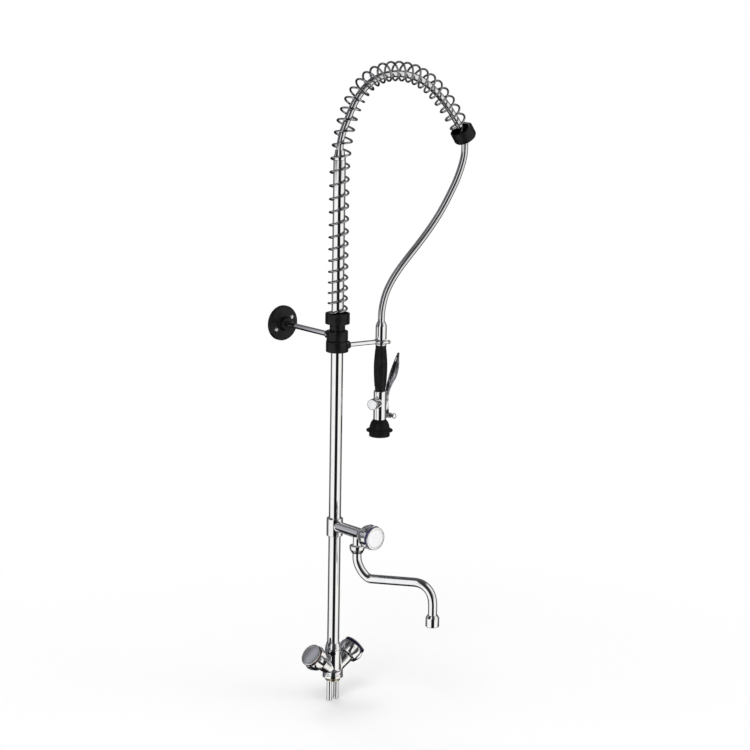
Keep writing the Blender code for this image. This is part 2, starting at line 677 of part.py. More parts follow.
# ---------------------------------------------------------------- taps
def make_tap(name, frame, ring_finish):
    """One tap along its frame's Z: cartridge, spindle, knob, ring, bezel and disc."""
    turned(name + "_cartridge", [
        (0, SPINDLE_START), (SPINDLE_RADIUS + GAP, SPINDLE_START),
        (SPINDLE_RADIUS + GAP, ARM_LENGTH + CARTRIDGE_HEX_HEIGHT + CARTRIDGE_NECK_HEIGHT),
        (CARTRIDGE_NECK_RADIUS, ARM_LENGTH + CARTRIDGE_HEX_HEIGHT + CARTRIDGE_NECK_HEIGHT),
        (CARTRIDGE_NECK_RADIUS, ARM_LENGTH + CARTRIDGE_HEX_HEIGHT),
        (CARTRIDGE_HEX_RADIUS, ARM_LENGTH + CARTRIDGE_HEX_HEIGHT),
        (CARTRIDGE_HEX_RADIUS, ARM_LENGTH + GAP), (SOCKET_RADIUS - GAP, ARM_LENGTH + GAP),
        (SOCKET_RADIUS - GAP, SOCKET_START + GAP), (0, SOCKET_START + GAP)],
        BRASS, frame, facets=16)
    turned(name + "_spindle", rod_outline(SPINDLE_RADIUS, SPINDLE_START + SPINDLE_LENGTH,
                                          SPINDLE_START + GAP), BRASS, frame, facets=SMALL_FACETS)
    cavity_end = KNOB_START + KNOB_CAVITY_DEPTH
    hub_end = SPINDLE_START + SPINDLE_LENGTH + GAP
    knob = turned(name + "_knob", [
        (0, INDEX_TOP), (KNOB_NECK_RADIUS, INDEX_TOP), (KNOB_NECK_RADIUS, KNOB_FRONT),
        (KNOB_FRONT_RADIUS - 0.0006, KNOB_FRONT), (KNOB_FRONT_RADIUS, KNOB_FRONT - 0.0008),
        (KNOB_CREST_RADIUS - 0.0006, KNOB_FRONT - 0.0050), (KNOB_CREST_RADIUS, KNOB_FRONT - 0.0085),
        (KNOB_CREST_RADIUS - 0.0008, KNOB_FRONT - 0.0130), (KNOB_BACK_RADIUS + 0.0008, KNOB_START + 0.002),
        (KNOB_BACK_RADIUS, KNOB_START), (KNOB_CAVITY_RADIUS, KNOB_START),
        (KNOB_CAVITY_RADIUS, cavity_end), (SPINDLE_RADIUS + GAP, cavity_end),
        (SPINDLE_RADIUS + GAP, hub_end), (0, hub_end)], CHROME, frame, facets=WIDE_FACETS)
    boolean(knob, flute_cutters(name, frame))
    turned(name + "_index_ring", ring_outline(INDEX_RING_RADIUS, KNOB_NECK_RADIUS + GAP, INDEX_TOP,
                                              KNOB_FRONT + GAP),
           ring_finish, frame, closed=True, facets=WIDE_FACETS)
    bezel_top = BEZEL_BOTTOM + BEZEL_HEIGHT
    floor = BEZEL_BOTTOM + BEZEL_FLOOR
    turned(name + "_bezel", [
        (0, floor), (DISC_RADIUS + GAP, floor), (DISC_RADIUS + GAP, bezel_top),
        (BEZEL_RADIUS - 0.0012, bezel_top), (BEZEL_RADIUS, bezel_top - 0.0010),
        (BEZEL_RADIUS, BEZEL_BOTTOM), (0, BEZEL_BOTTOM)], CHROME, frame)
    rim = floor + GAP + DISC_HEIGHT
    crown = [(DISC_RADIUS * share, rim + DISC_CROWN * (1 - share * share))
             for share in (0.0, 0.5, 0.82, 1.0)]
    turned(name + "_index_disc", [*crown, (DISC_RADIUS, floor + GAP), (0, floor + GAP)],
           WHITE_PLASTIC, frame)


def flute_cutters(name, frame):
    """The ring of rods that scallop a knob's side, as one cutter."""
    mesh = bpy.data.meshes.new(name + "_flutes")
    shape = bmesh.new()
    for i in range(KNOB_FLUTES):
        angle = 2 * math.pi * (i + 0.5) / KNOB_FLUTES
        made = bmesh.ops.create_cone(shape, cap_ends=True, segments=10, radius1=FLUTE_RADIUS,
                                     radius2=FLUTE_RADIUS, depth=3 * KNOB_LENGTH)
        reach = KNOB_CREST_RADIUS - FLUTE_DEPTH + FLUTE_RADIUS
        move = Matrix.Translation((reach * math.cos(angle), reach * math.sin(angle), KNOB_START))
        bmesh.ops.transform(shape, matrix=move, verts=made["verts"])
    shape.to_mesh(mesh)
    shape.free()
    return add_object(name + "_flutes", mesh, None, frame, cutter=True)


# ---------------------------------------------------------------- tee and spout
def make_tee(frame, tap_frame, spout_frame):
    """The sleeve on the riser with the side arm, the tap head and the outlet stub."""
    tee = turned("tee_body", rod_outline(TEE_RADIUS, TEE_TOP, TEE_BOTTOM, 0.0015), CHROME, frame)
    start = -TAP_CENTRE_REACH
    arm = turned("tee_arm", [
        (0, ARM_LENGTH), (ARM_END_RADIUS - 0.0008, ARM_LENGTH),
        (ARM_END_RADIUS, ARM_LENGTH - 0.0008), (ARM_END_RADIUS, TAP_HEAD_START + TAP_HEAD_TAPER),
        (TEE_ARM_RADIUS, TAP_HEAD_START), (TEE_ARM_RADIUS, start), (0, start)],
        parent=tap_frame, cutter=True)
    boolean(tee, arm, "UNION")
    stub = turned("tee_stub", [
        (0, TEE_ARM_HEIGHT), (STUB_RADIUS, TEE_ARM_HEIGHT), (STUB_RADIUS, SPOUT_NUT_TOP - 2 * GAP),
        (STUB_THREAD_RADIUS, SPOUT_NUT_TOP - 2 * GAP), (STUB_THREAD_RADIUS, STUB_END),
        (0, STUB_END)], parent=spout_frame, cutter=True)
    boolean(tee, stub, "UNION")
    up, level = (0, 0, 1), (0, -TAP_CENTRE_REACH, TEE_ARM_HEIGHT)
    outlet = (0, -SPOUT_REACH_FROM_RISER, 0)
    boolean(tee, rods("tee_sockets", frame, [
        (SOCKET_RADIUS, SOCKET_START, 2 * ARM_LENGTH, level, (0, -1, 0), FACETS),
        (SOCKET_FIT, TEE_BOTTOM - 0.01, TEE_BOTTOM + TEE_SEAT, (0, 0, 0), up, FACETS),
        (SOCKET_FIT, TEE_TOP - TEE_SEAT, TEE_TOP + 0.01, (0, 0, 0), up, FACETS),
        (STUB_BORE_RADIUS, STUB_END - 0.01, STUB_END + STUB_BORE_DEPTH, outlet, up, FACETS)]))


def spout_line():
    """The middle of the spout tube, from its flange down to the aerator."""
    top = STUB_END - GAP
    arm = SPOUT_ARM_HEIGHT
    first_out, first_down = SPOUT_FIRST_BEND
    last_out, last_down = SPOUT_SECOND_BEND
    bend_one = [bezier_point((0, arm + first_down), (0, arm + first_down * 0.40),
                             (first_out * 0.55, arm), (first_out, arm), i / 6) for i in range(7)]
    turn = SPOUT_REACH - last_out
    bend_two = [bezier_point((turn, arm), (turn + last_out * 0.62, arm),
                             (SPOUT_REACH, arm - last_down * 0.40),
                             (SPOUT_REACH, arm - last_down), i / 6) for i in range(7)]
    return [(0, top), *bend_one, *bend_two, (SPOUT_REACH, SPOUT_END_HEIGHT)]


def make_spout(column, frame):
    """The collar nut on the column, and the swinging tube with its aerator."""
    shoulder = SPOUT_NUT_BOTTOM + 0.0025
    turned("spout_nut", [
        (SPOUT_NUT_RADIUS - 0.0008, SPOUT_NUT_TOP), (SPOUT_NUT_RADIUS, SPOUT_NUT_TOP - 0.0008),
        (SPOUT_NUT_RADIUS, SPOUT_NUT_TOP - 0.0070), (SPOUT_RADIUS + 0.0016, SPOUT_NUT_BOTTOM),
        (SPOUT_RADIUS + GAP, SPOUT_NUT_BOTTOM), (SPOUT_RADIUS + GAP, shoulder),
        (STUB_THREAD_RADIUS + GAP, shoulder), (STUB_THREAD_RADIUS + GAP, SPOUT_NUT_TOP)],
        CHROME, column, closed=True)
    line = spout_line()
    top = line[0][1]
    pipe = tube("spout_tube", [in_gantry(p) for p in line], SPOUT_RADIUS, CHROME, frame, resolution=2)
    flange = turned("spout_flange", [
        (0, top + SPOUT_NIPPLE_LENGTH), (SPOUT_NIPPLE_RADIUS, top + SPOUT_NIPPLE_LENGTH),
        (SPOUT_NIPPLE_RADIUS, top), (STUB_THREAD_RADIUS - GAP, top),
        (STUB_THREAD_RADIUS - GAP, top - SPOUT_FLANGE_HEIGHT), (0, top - SPOUT_FLANGE_HEIGHT)],
        parent=frame, facets=FACETS, cutter=True)
    boolean(pipe, flange, "UNION")
    bore_line = [(0, top + 2 * SPOUT_NIPPLE_LENGTH), (0, top - SPOUT_FLANGE_HEIGHT - 0.001)]
    boolean(pipe, tube("spout_nipple_bore", [in_gantry(p) for p in bore_line], SPOUT_NIPPLE_BORE,
                       None, frame, resolution=2, cutter=True))
    wide = [(0, top - SPOUT_FLANGE_HEIGHT), *line[1:-1], (SPOUT_REACH, SPOUT_END_HEIGHT - 0.01)]
    boolean(pipe, tube("spout_bore", [in_gantry(p) for p in wide], SPOUT_BORE_RADIUS, None, frame,
                       resolution=2, cutter=True))
    turned("spout_o_ring", ring_outline(STUB_BORE_RADIUS - GAP, SPOUT_NIPPLE_RADIUS + GAP,
                                        top + 0.005, top + 0.003), BLACK_RUBBER, frame,
           closed=True, facets=FACETS)
    make_aerator(frame)


def make_aerator(frame):
    """The aerator housing on the spout's end, and its insert."""
    top = AERATOR_BOTTOM + AERATOR_LENGTH
    stop = SPOUT_END_HEIGHT - GAP
    insert_top = AERATOR_BOTTOM + 0.0012 + INSERT_THICKNESS
    housing = turned("aerator_housing", [
        (AERATOR_TOP_RADIUS - 0.0006, top), (AERATOR_TOP_RADIUS, top - 0.0010),
        (AERATOR_RADIUS, top - 0.0050), (AERATOR_RADIUS, AERATOR_BOTTOM + 0.0012),
        (AERATOR_RADIUS - 0.0012, AERATOR_BOTTOM), (AERATOR_BORE_RADIUS, AERATOR_BOTTOM),
        (AERATOR_BORE_RADIUS, insert_top + GAP), (SPOUT_BORE_RADIUS, insert_top + GAP),
        (SPOUT_BORE_RADIUS, stop), (SPOUT_RADIUS + GAP, stop), (SPOUT_RADIUS + GAP, top)],
        CHROME, frame, closed=True)
    place(housing, (SPOUT_REACH, 0, 0))
    insert = turned("aerator_insert", rod_outline(AERATOR_BORE_RADIUS - GAP, insert_top,
                                                  insert_top - INSERT_THICKNESS),
                    STEEL, frame, facets=FACETS)
    place(insert, (SPOUT_REACH, 0, 0))


# ---------------------------------------------------------------- brackets
def make_hook(frame):
    """The collar that turns on the riser, and the rod with its fork."""
    collar = turned("hook_collar", ring_outline(HOOK_COLLAR_RADIUS, SOCKET_FIT, HOOK_COLLAR_TOP,
                                                HOOK_COLLAR_BOTTOM, 0.0012),
                    BLACK_PLASTIC, frame, closed=True)
    along = aimed((1, 0, 0))
    boss = cylinder_cutter("hook_boss", HOOK_BOSS_RADIUS, SOCKET_FIT + 0.003, HOOK_BOSS_REACH, frame,
                           (0, 0, HOOK_HEIGHT), along, facets=FACETS)
    boolean(collar, boss, "UNION")
    seat = HOOK_BOSS_REACH - ROD_SEAT
    boolean(collar, cylinder_cutter("hook_rod_hole", HOOK_ROD_RADIUS + GAP, seat,
                                    2 * HOOK_BOSS_REACH, frame, (0, 0, HOOK_HEIGHT), along,
                                    facets=FACETS))
    back = HANDSET_REACH - FORK_WIDTH + FORK_WIRE_RADIUS / 4
    rod = turned("hook_fork", rod_outline(HOOK_ROD_RADIUS, back, seat + GAP),
                 CHROME, frame, facets=FACETS)
    place(rod, (0, 0, HOOK_HEIGHT), along)
    tip = HANDSET_REACH + FORK_TIP_REACH
    bow = arc_points((HANDSET_REACH, 0), FORK_WIDTH, 90, 270, 8)
    line = [(tip, FORK_WIDTH), *bow, (tip, -FORK_WIDTH)]
    fork = tube("fork_bow", [(x, y, HOOK_HEIGHT) for x, y in line], FORK_WIRE_RADIUS, None, frame,
                resolution=2, cutter=True)
    boolean(rod, fork, "UNION")
    for side in (-1, 1):
        ball_line = arc_points((0, 0), FORK_BALL_RADIUS, 90, -90, 6)
        ball = turned("fork_ball", [(abs(x) if abs(x) > MERGE else 0, z) for x, z in ball_line],
                      parent=frame, facets=SMALL_FACETS, cutter=True)
        spread = FORK_WIDTH + FORK_BALL_RADIUS - FORK_WIRE_RADIUS
        place(ball, (tip + FORK_BALL_RADIUS / 4, side * spread, HOOK_HEIGHT))
        boolean(rod, ball, "UNION")


def make_wall_bracket(frame):
    """The ring on the riser, its rod, the wall flange and the fasteners."""
    ring = turned("wall_bracket_ring", ring_outline(WALL_RING_RADIUS, SOCKET_FIT, WALL_RING_TOP,
                                                    WALL_RING_BOTTOM, 0.0012),
                  BLACK_PLASTIC, frame, closed=True)
    along = aimed((0, 1, 0))
    level = (0, 0, WALL_ROD_HEIGHT)
    boolean(ring, cylinder_cutter("wall_boss", WALL_BOSS_RADIUS, SOCKET_FIT + 0.003,
                                  WALL_BOSS_REACH, frame, level, along, facets=FACETS), "UNION")
    seat = WALL_BOSS_REACH - ROD_SEAT
    grub_place = (0, WALL_BOSS_REACH - ROD_SEAT / 3, WALL_ROD_HEIGHT)
    sideways = aimed((-1, 0, 0))
    boolean(ring, cylinder_cutter("grub_hole", GRUB_RADIUS + GAP, WALL_ROD_RADIUS / 2,
                                  2 * WALL_BOSS_RADIUS, frame, grub_place, sideways,
                                  facets=SMALL_FACETS))
    boolean(ring, cylinder_cutter("wall_rod_hole", WALL_ROD_RADIUS + GAP, seat,
                                  2 * WALL_BOSS_REACH, frame, level, along, facets=FACETS))
    grub = turned("wall_bracket_screw", rod_outline(GRUB_RADIUS, WALL_BOSS_RADIUS,
                                                    WALL_ROD_RADIUS + GAP),
                  STEEL, frame, facets=SMALL_FACETS)
    place(grub, grub_place, sideways)
    front = WALL_REACH - FLANGE_THICKNESS
    hub = front - FLANGE_HUB_HEIGHT
    rod_end = WALL_REACH - 0.004
    rod = turned("wall_rod", rod_outline(WALL_ROD_RADIUS, rod_end - GAP, seat + GAP),
                 CHROME, frame, facets=FACETS)
    place(rod, level, along)
    flange = turned("wall_flange", [
        (0, WALL_REACH), (FLANGE_RADIUS, WALL_REACH), (FLANGE_RADIUS, front + 0.0025),
        (FLANGE_RADIUS - 0.0010, front + 0.0008), (FLANGE_RADIUS - 0.0030, front),
        (FLANGE_HUB_RADIUS + 0.0020, front), (FLANGE_HUB_RADIUS, front - 0.0015),
        (FLANGE_HUB_RADIUS - 0.0012, hub + 0.001), (FLANGE_HUB_RADIUS - 0.0024, hub),
        (WALL_ROD_RADIUS + GAP, hub), (WALL_ROD_RADIUS + GAP, rod_end), (0, rod_end)],
        BLACK_PLASTIC, frame, facets=WIDE_FACETS)
    flange.data.flip_normals()
    place(flange, level, along)
    for name, turn in (("wall_screw_upper", WALL_SCREW_TURN), ("wall_screw_lower", WALL_SCREW_TURN + 180)):
        angle = math.radians(turn)
        spot = (WALL_SCREW_CIRCLE * math.cos(angle), 0,
                WALL_ROD_HEIGHT + WALL_SCREW_CIRCLE * math.sin(angle))
        boolean(flange, cylinder_cutter(name + "_hole", WALL_SCREW_RADIUS + GAP, front - 0.01,
                                        WALL_REACH + 0.01, frame, spot, along,
                                        facets=SMALL_FACETS))
        head = front - GAP
        screw = turned(name, [
            (0, WALL_REACH - 0.0005), (WALL_SCREW_RADIUS, WALL_REACH - 0.0005),
            (WALL_SCREW_RADIUS, head), (WALL_SCREW_HEAD_RADIUS, head),
            (WALL_SCREW_HEAD_RADIUS * 0.80, head - WALL_SCREW_HEAD_HEIGHT * 0.75),
            (WALL_SCREW_HEAD_RADIUS * 0.40, head - WALL_SCREW_HEAD_HEIGHT),
            (0, head - WALL_SCREW_HEAD_HEIGHT)], STEEL, frame, facets=SMALL_FACETS)
        place(screw, spot, along)


# ---------------------------------------------------------------- spring gantry
def arch_line():
    """The middle of the spring, as dense points of the gantry plane."""
    up, before, after, down = ARCH_HANDLES
    start = (0.0, ARCH_START_HEIGHT)
    end = tuple(p + SPRING_TOP_INSET * d for p, d in zip(CAP_TOP, CAP_ALONG))
    apex = ARCH_APEX
    left = (start, (0.0, start[1] + up), (apex[0] - before, apex[1]), apex)
    right = (apex, (apex[0] + after, apex[1]), (end[0] - down * CAP_ALONG[0], end[1] - down * CAP_ALONG[1]), end)
    steps = 120
    points = [(0.0, SPRING_BOTTOM + (start[1] - SPRING_BOTTOM) * i / steps) for i in range(steps)]
    points += [bezier_point(*left, i / steps) for i in range(steps)]
    points += [bezier_point(*right, i / steps) for i in range(steps + 1)]
    return points


def coil_pitch(share):
    """How open the spring is at a share of its length: tight, open, tight, open."""
    keys = ((0.0, 1.00), (0.36, 1.32), (0.68, 0.84), (1.0, 1.12))
    for (a, low), (b, high) in zip(keys, keys[1:]):
        if share <= b:
            return low + (high - low) * smooth_step((share - a) / (b - a))
    return keys[-1][1]


def spring_points():
    """The wire of the spring as one right-handed coil that follows the arch."""
    line = arch_line()
    lengths = lengths_along(line)
    total = lengths[-1]
    samples = 2000
    turns = [0.0]
    for i in range(samples):
        turns.append(turns[-1] + 1.0 / coil_pitch((i + 0.5) / samples))
    scale = SPRING_TURNS / turns[-1]
    count = SPRING_TURNS * POINTS_PER_TURN
    points = []
    sample = 0
    for k in range(count + 1):
        wanted = k / POINTS_PER_TURN / scale
        while sample < samples - 1 and turns[sample + 1] < wanted:
            sample += 1
        share = (sample + (wanted - turns[sample]) / (turns[sample + 1] - turns[sample])) / samples
        distance = share * total
        middle = point_at(line, lengths, distance)
        ahead = point_at(line, lengths, distance + 0.001)
        behind = point_at(line, lengths, distance - 0.001)
        size = math.dist(ahead, behind)
        along = ((ahead[0] - behind[0]) / size, (ahead[1] - behind[1]) / size)
        angle = 2 * math.pi * k / POINTS_PER_TURN
        outward = SPRING_RADIUS * math.cos(angle)
        points.append((middle[0] + outward * along[1], SPRING_RADIUS * math.sin(angle),
                       middle[1] - outward * along[0]))
    first = Vector(points[0]) - Vector(points[1])
    last = Vector(points[-1]) - Vector(points[-2])
    stub = 2 * SPRING_WIRE_RADIUS
    start = Vector(points[0]) + first.normalized() * stub * 0.5
    end = Vector(points[-1]) + last.normalized() * stub * 0.5
    return [tuple(start), *points, tuple(end)]


def least_self_gap(points, wire_radius):
    """The least distance between two turns of a wire, from surface to surface."""
    least = math.inf
    near = POINTS_PER_TURN // 2
    for i, point in enumerate(points):
        for other in points[i + near:i + 3 * POINTS_PER_TURN]:
            least = min(least, math.dist(point, other))
    return least - 2 * wire_radius


def hose_inside_line():
    """The hose from the riser's top, through the arch and the cap, to its exit."""
    line = arch_line()
    lengths = lengths_along(line)
    total = lengths[-1]
    start = next(i for i, p in enumerate(line) if p[1] >= HOSE_START_HEIGHT)
    leave = total - 0.022
    points = []
    steps = 28
    for i in range(steps + 1):
        distance = lengths[start] + (leave - lengths[start]) * i / steps
        share = i / steps
        middle = point_at(line, lengths, distance)
        ahead = point_at(line, lengths, distance + 0.002)
        size = math.dist(ahead, middle)
        along = ((ahead[0] - middle[0]) / size, (ahead[1] - middle[1]) / size)
        drop = HOSE_DROP * math.sin(math.pi * share) ** 2
        blend = smooth_step(share / 0.18)
        x = middle[0] * blend + drop * along[1]
        points.append((x, middle[1] - drop * along[0]))
    points[0] = (0.0, HOSE_START_HEIGHT)
    near_cap = points[-1]
    straight = (HOSE_EXIT[0], HOSE_EXIT[1] + HOSE_END)
    bend = [bezier_point(near_cap, tuple(p + 0.018 * d for p, d in zip(near_cap, CAP_ALONG)),
                         (straight[0], straight[1] + 0.014), straight, k / 6)
            for k in range(1, 7)]
    return [*even_points(points + bend, 2.6 * HOSE_RADIUS), HOSE_EXIT]


def free_hose_line():
    """The free hose from the cap to the handset's ferrule."""
    start = (HOSE_EXIT[0], HOSE_EXIT[1] - GAP)
    end = (HANDSET_REACH, FERRULE_TOP - FERRULE_SOCKET_DEPTH + GAP)
    out, up = HOSE_EXIT[0] - HANDSET_REACH, HOSE_EXIT[1] - FERRULE_TOP
    middle = [(HANDSET_REACH + a * out, FERRULE_TOP + b * up) for a, b in FREE_HOSE_SHARES]
    route = [(start[0], start[1] - HOSE_END), *middle, (end[0], end[1] + HOSE_END)]
    return [start, *smooth_route(route, 2.6 * HOSE_RADIUS), end]


def make_gantry(frame):
    """Spring seat, spring, hose with its union, and the end cap."""
    turned("spring_seat", [
        (SEAT_RADIUS - 0.0008, SEAT_TOP), (SEAT_RADIUS, SEAT_TOP - 0.0008),
        (SEAT_RADIUS, SEAT_RING_BOTTOM + 0.0010), (SEAT_RADIUS - 0.0010, SEAT_RING_BOTTOM),
        (SEAT_NECK_RADIUS, SEAT_RING_BOTTOM), (SEAT_NECK_RADIUS, SEAT_BOTTOM),
        (SOCKET_FIT, SEAT_BOTTOM), (SOCKET_FIT, SEAT_FLOOR), (CUP_RADIUS, SEAT_FLOOR),
        (CUP_RADIUS, SEAT_TOP)], BLACK_PLASTIC, frame, closed=True, facets=WIDE_FACETS)
    points = spring_points()
    tube("spring", points, SPRING_WIRE_RADIUS, CHROME, frame, resolution=1)
    print("spring least gap to itself, mm:", round(1000 * least_self_gap(points, SPRING_WIRE_RADIUS), 2))
    union_top = HOSE_START_HEIGHT - GAP + HOSE_SOCKET_DEPTH
    bore = RISER_RADIUS - RISER_WALL
    turned("hose_union", [
        (0, HOSE_START_HEIGHT - GAP), (HOSE_RADIUS + GAP, HOSE_START_HEIGHT - GAP),
        (HOSE_RADIUS + GAP, union_top), (HOSE_RADIUS + 0.0021, union_top),
        (HOSE_RADIUS + 0.0030, union_top - 0.007), (RISER_RADIUS - 0.0002, RISER_TOP + 0.005),
        (RISER_RADIUS - 0.0002, RISER_TOP + GAP), (bore - GAP, RISER_TOP + GAP),
        (bore - GAP, RISER_TOP - 0.011), (0, RISER_TOP - 0.011)], CHROME, frame)
    inside = hose_inside_line()
    tube("hose_in_spring", [in_gantry(p) for p in inside], HOSE_RADIUS, HOSE_GREY, frame, resolution=HOSE_SIDES)
    cap = turned("spring_end_cap", [
        (0, -CAP_CUP_DEPTH), (CUP_RADIUS, -CAP_CUP_DEPTH), (CUP_RADIUS, 0),
        (CAP_RADIUS - 0.0008, 0), (CAP_RADIUS, -0.0008), (CAP_RADIUS, -CAP_LENGTH + 0.004),
        (CAP_RADIUS - 0.0035, -CAP_LENGTH), (0, -CAP_LENGTH)], BLACK_PLASTIC, frame,
        facets=WIDE_FACETS)
    place(cap, in_gantry(CAP_TOP), Matrix.Rotation(math.radians(-CAP_LEAN), 4, "Y").to_quaternion())
    beyond = (HOSE_EXIT[0], HOSE_EXIT[1] - 0.012)
    boolean(cap, tube("cap_bore", [in_gantry(p) for p in [*inside[-8:], beyond]],
                      HOSE_RADIUS + 2 * GAP, None, frame, resolution=HOSE_SIDES, cutter=True))
    free = free_hose_line()
    tube("hose_free", [in_gantry(p) for p in free], HOSE_RADIUS, HOSE_GREY, frame,
         resolution=HOSE_SIDES)
    print("free hose length, m:", round(lengths_along(free)[-1], 4))


# ---------------------------------------------------------------- handset
def make_handset(frame):
    """Ferrule, grip, bumper and spray face, all turned about the handset axis."""
    neck_top = HOOK_HEIGHT + NECK_HALF_HEIGHT
    neck_bottom = HOOK_HEIGHT - NECK_HALF_HEIGHT
    socket = FERRULE_TOP - FERRULE_SOCKET_DEPTH
    turned("hose_ferrule", [
        (0, socket), (HOSE_RADIUS + GAP, socket), (HOSE_RADIUS + GAP, FERRULE_TOP),
        (HOSE_RADIUS + 0.0014, FERRULE_TOP), (FERRULE_RADIUS, FERRULE_TOP - 0.0070),
        (FERRULE_RADIUS, neck_top), (FERRULE_NECK_RADIUS, neck_top),
        (FERRULE_NECK_RADIUS, neck_bottom), (FERRULE_RADIUS, neck_bottom),
        (FERRULE_RADIUS, FERRULE_BOTTOM + 0.0008), (FERRULE_RADIUS - 0.0010, FERRULE_BOTTOM),
        (0, FERRULE_BOTTOM)], CHROME, frame)
    grip_top = FERRULE_BOTTOM - GAP
    length = grip_top - GRIP_BOTTOM - GAP
    sides = ((0.0, GRIP_TOP_RADIUS), (0.20, 0.0116), (0.38, 0.0127), (0.50, GRIP_BELLY_RADIUS),
             (0.62, 0.0127), (0.80, 0.0118), (0.93, 0.0106), (1.0, GRIP_BOTTOM_RADIUS))
    turned("grip", [*((radius, grip_top - length * share) for share, radius in sides),
                    (GRIP_TUBE_RADIUS + GAP, GRIP_BOTTOM + GAP), (GRIP_TUBE_RADIUS + GAP, grip_top)],
           BLACK_PLASTIC, frame, closed=True)
    top = VALVE_BOTTOM - GAP
    flange = top - BUMPER_FLANGE_DROP
    bottom = top - BUMPER_LENGTH
    spigot = VALVE_SPIGOT_RADIUS + GAP
    turned("bumper", [
        (BUMPER_TOP_RADIUS, top), (BUMPER_TOP_RADIUS + 0.0040, top - 0.0055),
        (BUMPER_DOME_RADIUS - 0.0008, top - 0.0120), (BUMPER_DOME_RADIUS, flange + 0.0035),
        (BUMPER_FLANGE_RADIUS - 0.0006, flange + 0.0016), (BUMPER_FLANGE_RADIUS, flange),
        (BUMPER_FLANGE_RADIUS - 0.0006, flange - 0.0014), (BUMPER_SKIRT_RADIUS, flange - 0.0028),
        (BUMPER_SKIRT_RADIUS, bottom + 0.0010), (BUMPER_SKIRT_RADIUS - 0.0010, bottom),
        (BUMPER_MOUTH_RADIUS, bottom), (BUMPER_MOUTH_RADIUS, bottom + BUMPER_MOUTH_DEPTH),
        (spigot, bottom + BUMPER_MOUTH_DEPTH), (spigot, top)], BLACK_RUBBER, frame,
        closed=True, facets=WIDE_FACETS)
    face_top = bottom + BUMPER_MOUTH_DEPTH - GAP
    boss_top = VALVE_BOTTOM - VALVE_SPIGOT_LENGTH - GAP
    face = turned("spray_face", [
        (0, boss_top), (VALVE_SPIGOT_RADIUS - 0.0004, boss_top), (VALVE_SPIGOT_RADIUS - 0.0004, face_top),
        (BUMPER_MOUTH_RADIUS - GAP, face_top),
        (BUMPER_MOUTH_RADIUS - GAP, face_top - SPRAY_FACE_THICKNESS),
        (0, face_top - SPRAY_FACE_THICKNESS)], STEEL, frame)
    nozzles = bpy.data.meshes.new("nozzles")
    shape = bmesh.new()
    for i in range(SPRAY_NOZZLES):
        angle = 2 * math.pi * i / SPRAY_NOZZLES
        made = bmesh.ops.create_cone(shape, cap_ends=True, segments=8, radius1=NOZZLE_RADIUS,
                                     radius2=NOZZLE_RADIUS, depth=2 * NOZZLE_DEPTH)
        spot = (NOZZLE_CIRCLE * math.cos(angle), NOZZLE_CIRCLE * math.sin(angle),
                face_top - SPRAY_FACE_THICKNESS)
        bmesh.ops.translate(shape, vec=spot, verts=made["verts"])
    shape.to_mesh(nozzles)
    shape.free()
    boolean(face, add_object("nozzles", nozzles, None, frame, cutter=True))


def make_valve(frame):
    """The spray valve, whose cross axis is its frame's X with the lever on +X."""
    body = turned("valve_body", [
        (0, FERRULE_BOTTOM - 2 * GAP), (GRIP_TUBE_RADIUS, FERRULE_BOTTOM - 2 * GAP),
        (GRIP_TUBE_RADIUS, GRIP_BOTTOM), (VALVE_RADIUS - 0.0015, GRIP_BOTTOM),
        (VALVE_RADIUS, GRIP_BOTTOM - 0.0015), (VALVE_RADIUS, VALVE_BOTTOM + 0.0010),
        (VALVE_RADIUS - 0.0010, VALVE_BOTTOM), (VALVE_SPIGOT_RADIUS, VALVE_BOTTOM),
        (VALVE_SPIGOT_RADIUS, VALVE_BOTTOM - VALVE_SPIGOT_LENGTH),
        (0, VALVE_BOTTOM - VALVE_SPIGOT_LENGTH)], CHROME, frame)
    level = (0, 0, VALVE_AXIS_HEIGHT)
    outward = aimed((1, 0, 0))
    inward = aimed((-1, 0, 0))
    boolean(body, rods("valve_bosses", frame, [
        (VALVE_BOSS_RADIUS, 0.004, BONNET_START - GAP, level, (-1, 0, 0), FACETS),
        (STEM_BOSS_RADIUS, 0.004, STEM_BOSS_REACH, level, (1, 0, 0), FACETS)]), "UNION")
    pivot_x, pivot_z = LEVER_PIVOT
    ear_foot = VALVE_BOTTOM + 0.0010
    ear = [(VALVE_RADIUS * 0.6, ear_foot), (VALVE_RADIUS + 0.005, ear_foot),
           *arc_points((pivot_x, pivot_z), EAR_RADIUS, -90, 90, 10),
           (VALVE_RADIUS * 0.6, pivot_z + EAR_RADIUS)]
    eye = arc_points((pivot_x, pivot_z), PIN_RADIUS + GAP, 0, 360, SMALL_FACETS)[:-1]
    ear_middle = EAR_INSIDE + EAR_THICKNESS / 2
    upright = Matrix.Rotation(math.radians(90), 4, "X").to_quaternion()
    for side in (-1, 1):
        boolean(body, flat_outline("ear", [ear, eye], EAR_THICKNESS, frame, upright,
                                   (0, side * ear_middle, 0), cutter=True), "UNION")
    half = EAR_INSIDE + EAR_THICKNESS
    boolean(body, cylinder_cutter("stem_bore", STEM_RADIUS + STEM_CLEARANCE, -2 * BONNET_START,
                                  2 * STEM_BOSS_REACH, frame, level, outward,
                                  facets=SMALL_FACETS))
    make_bonnet(frame, level, inward)
    make_pin_and_ring(frame, half)


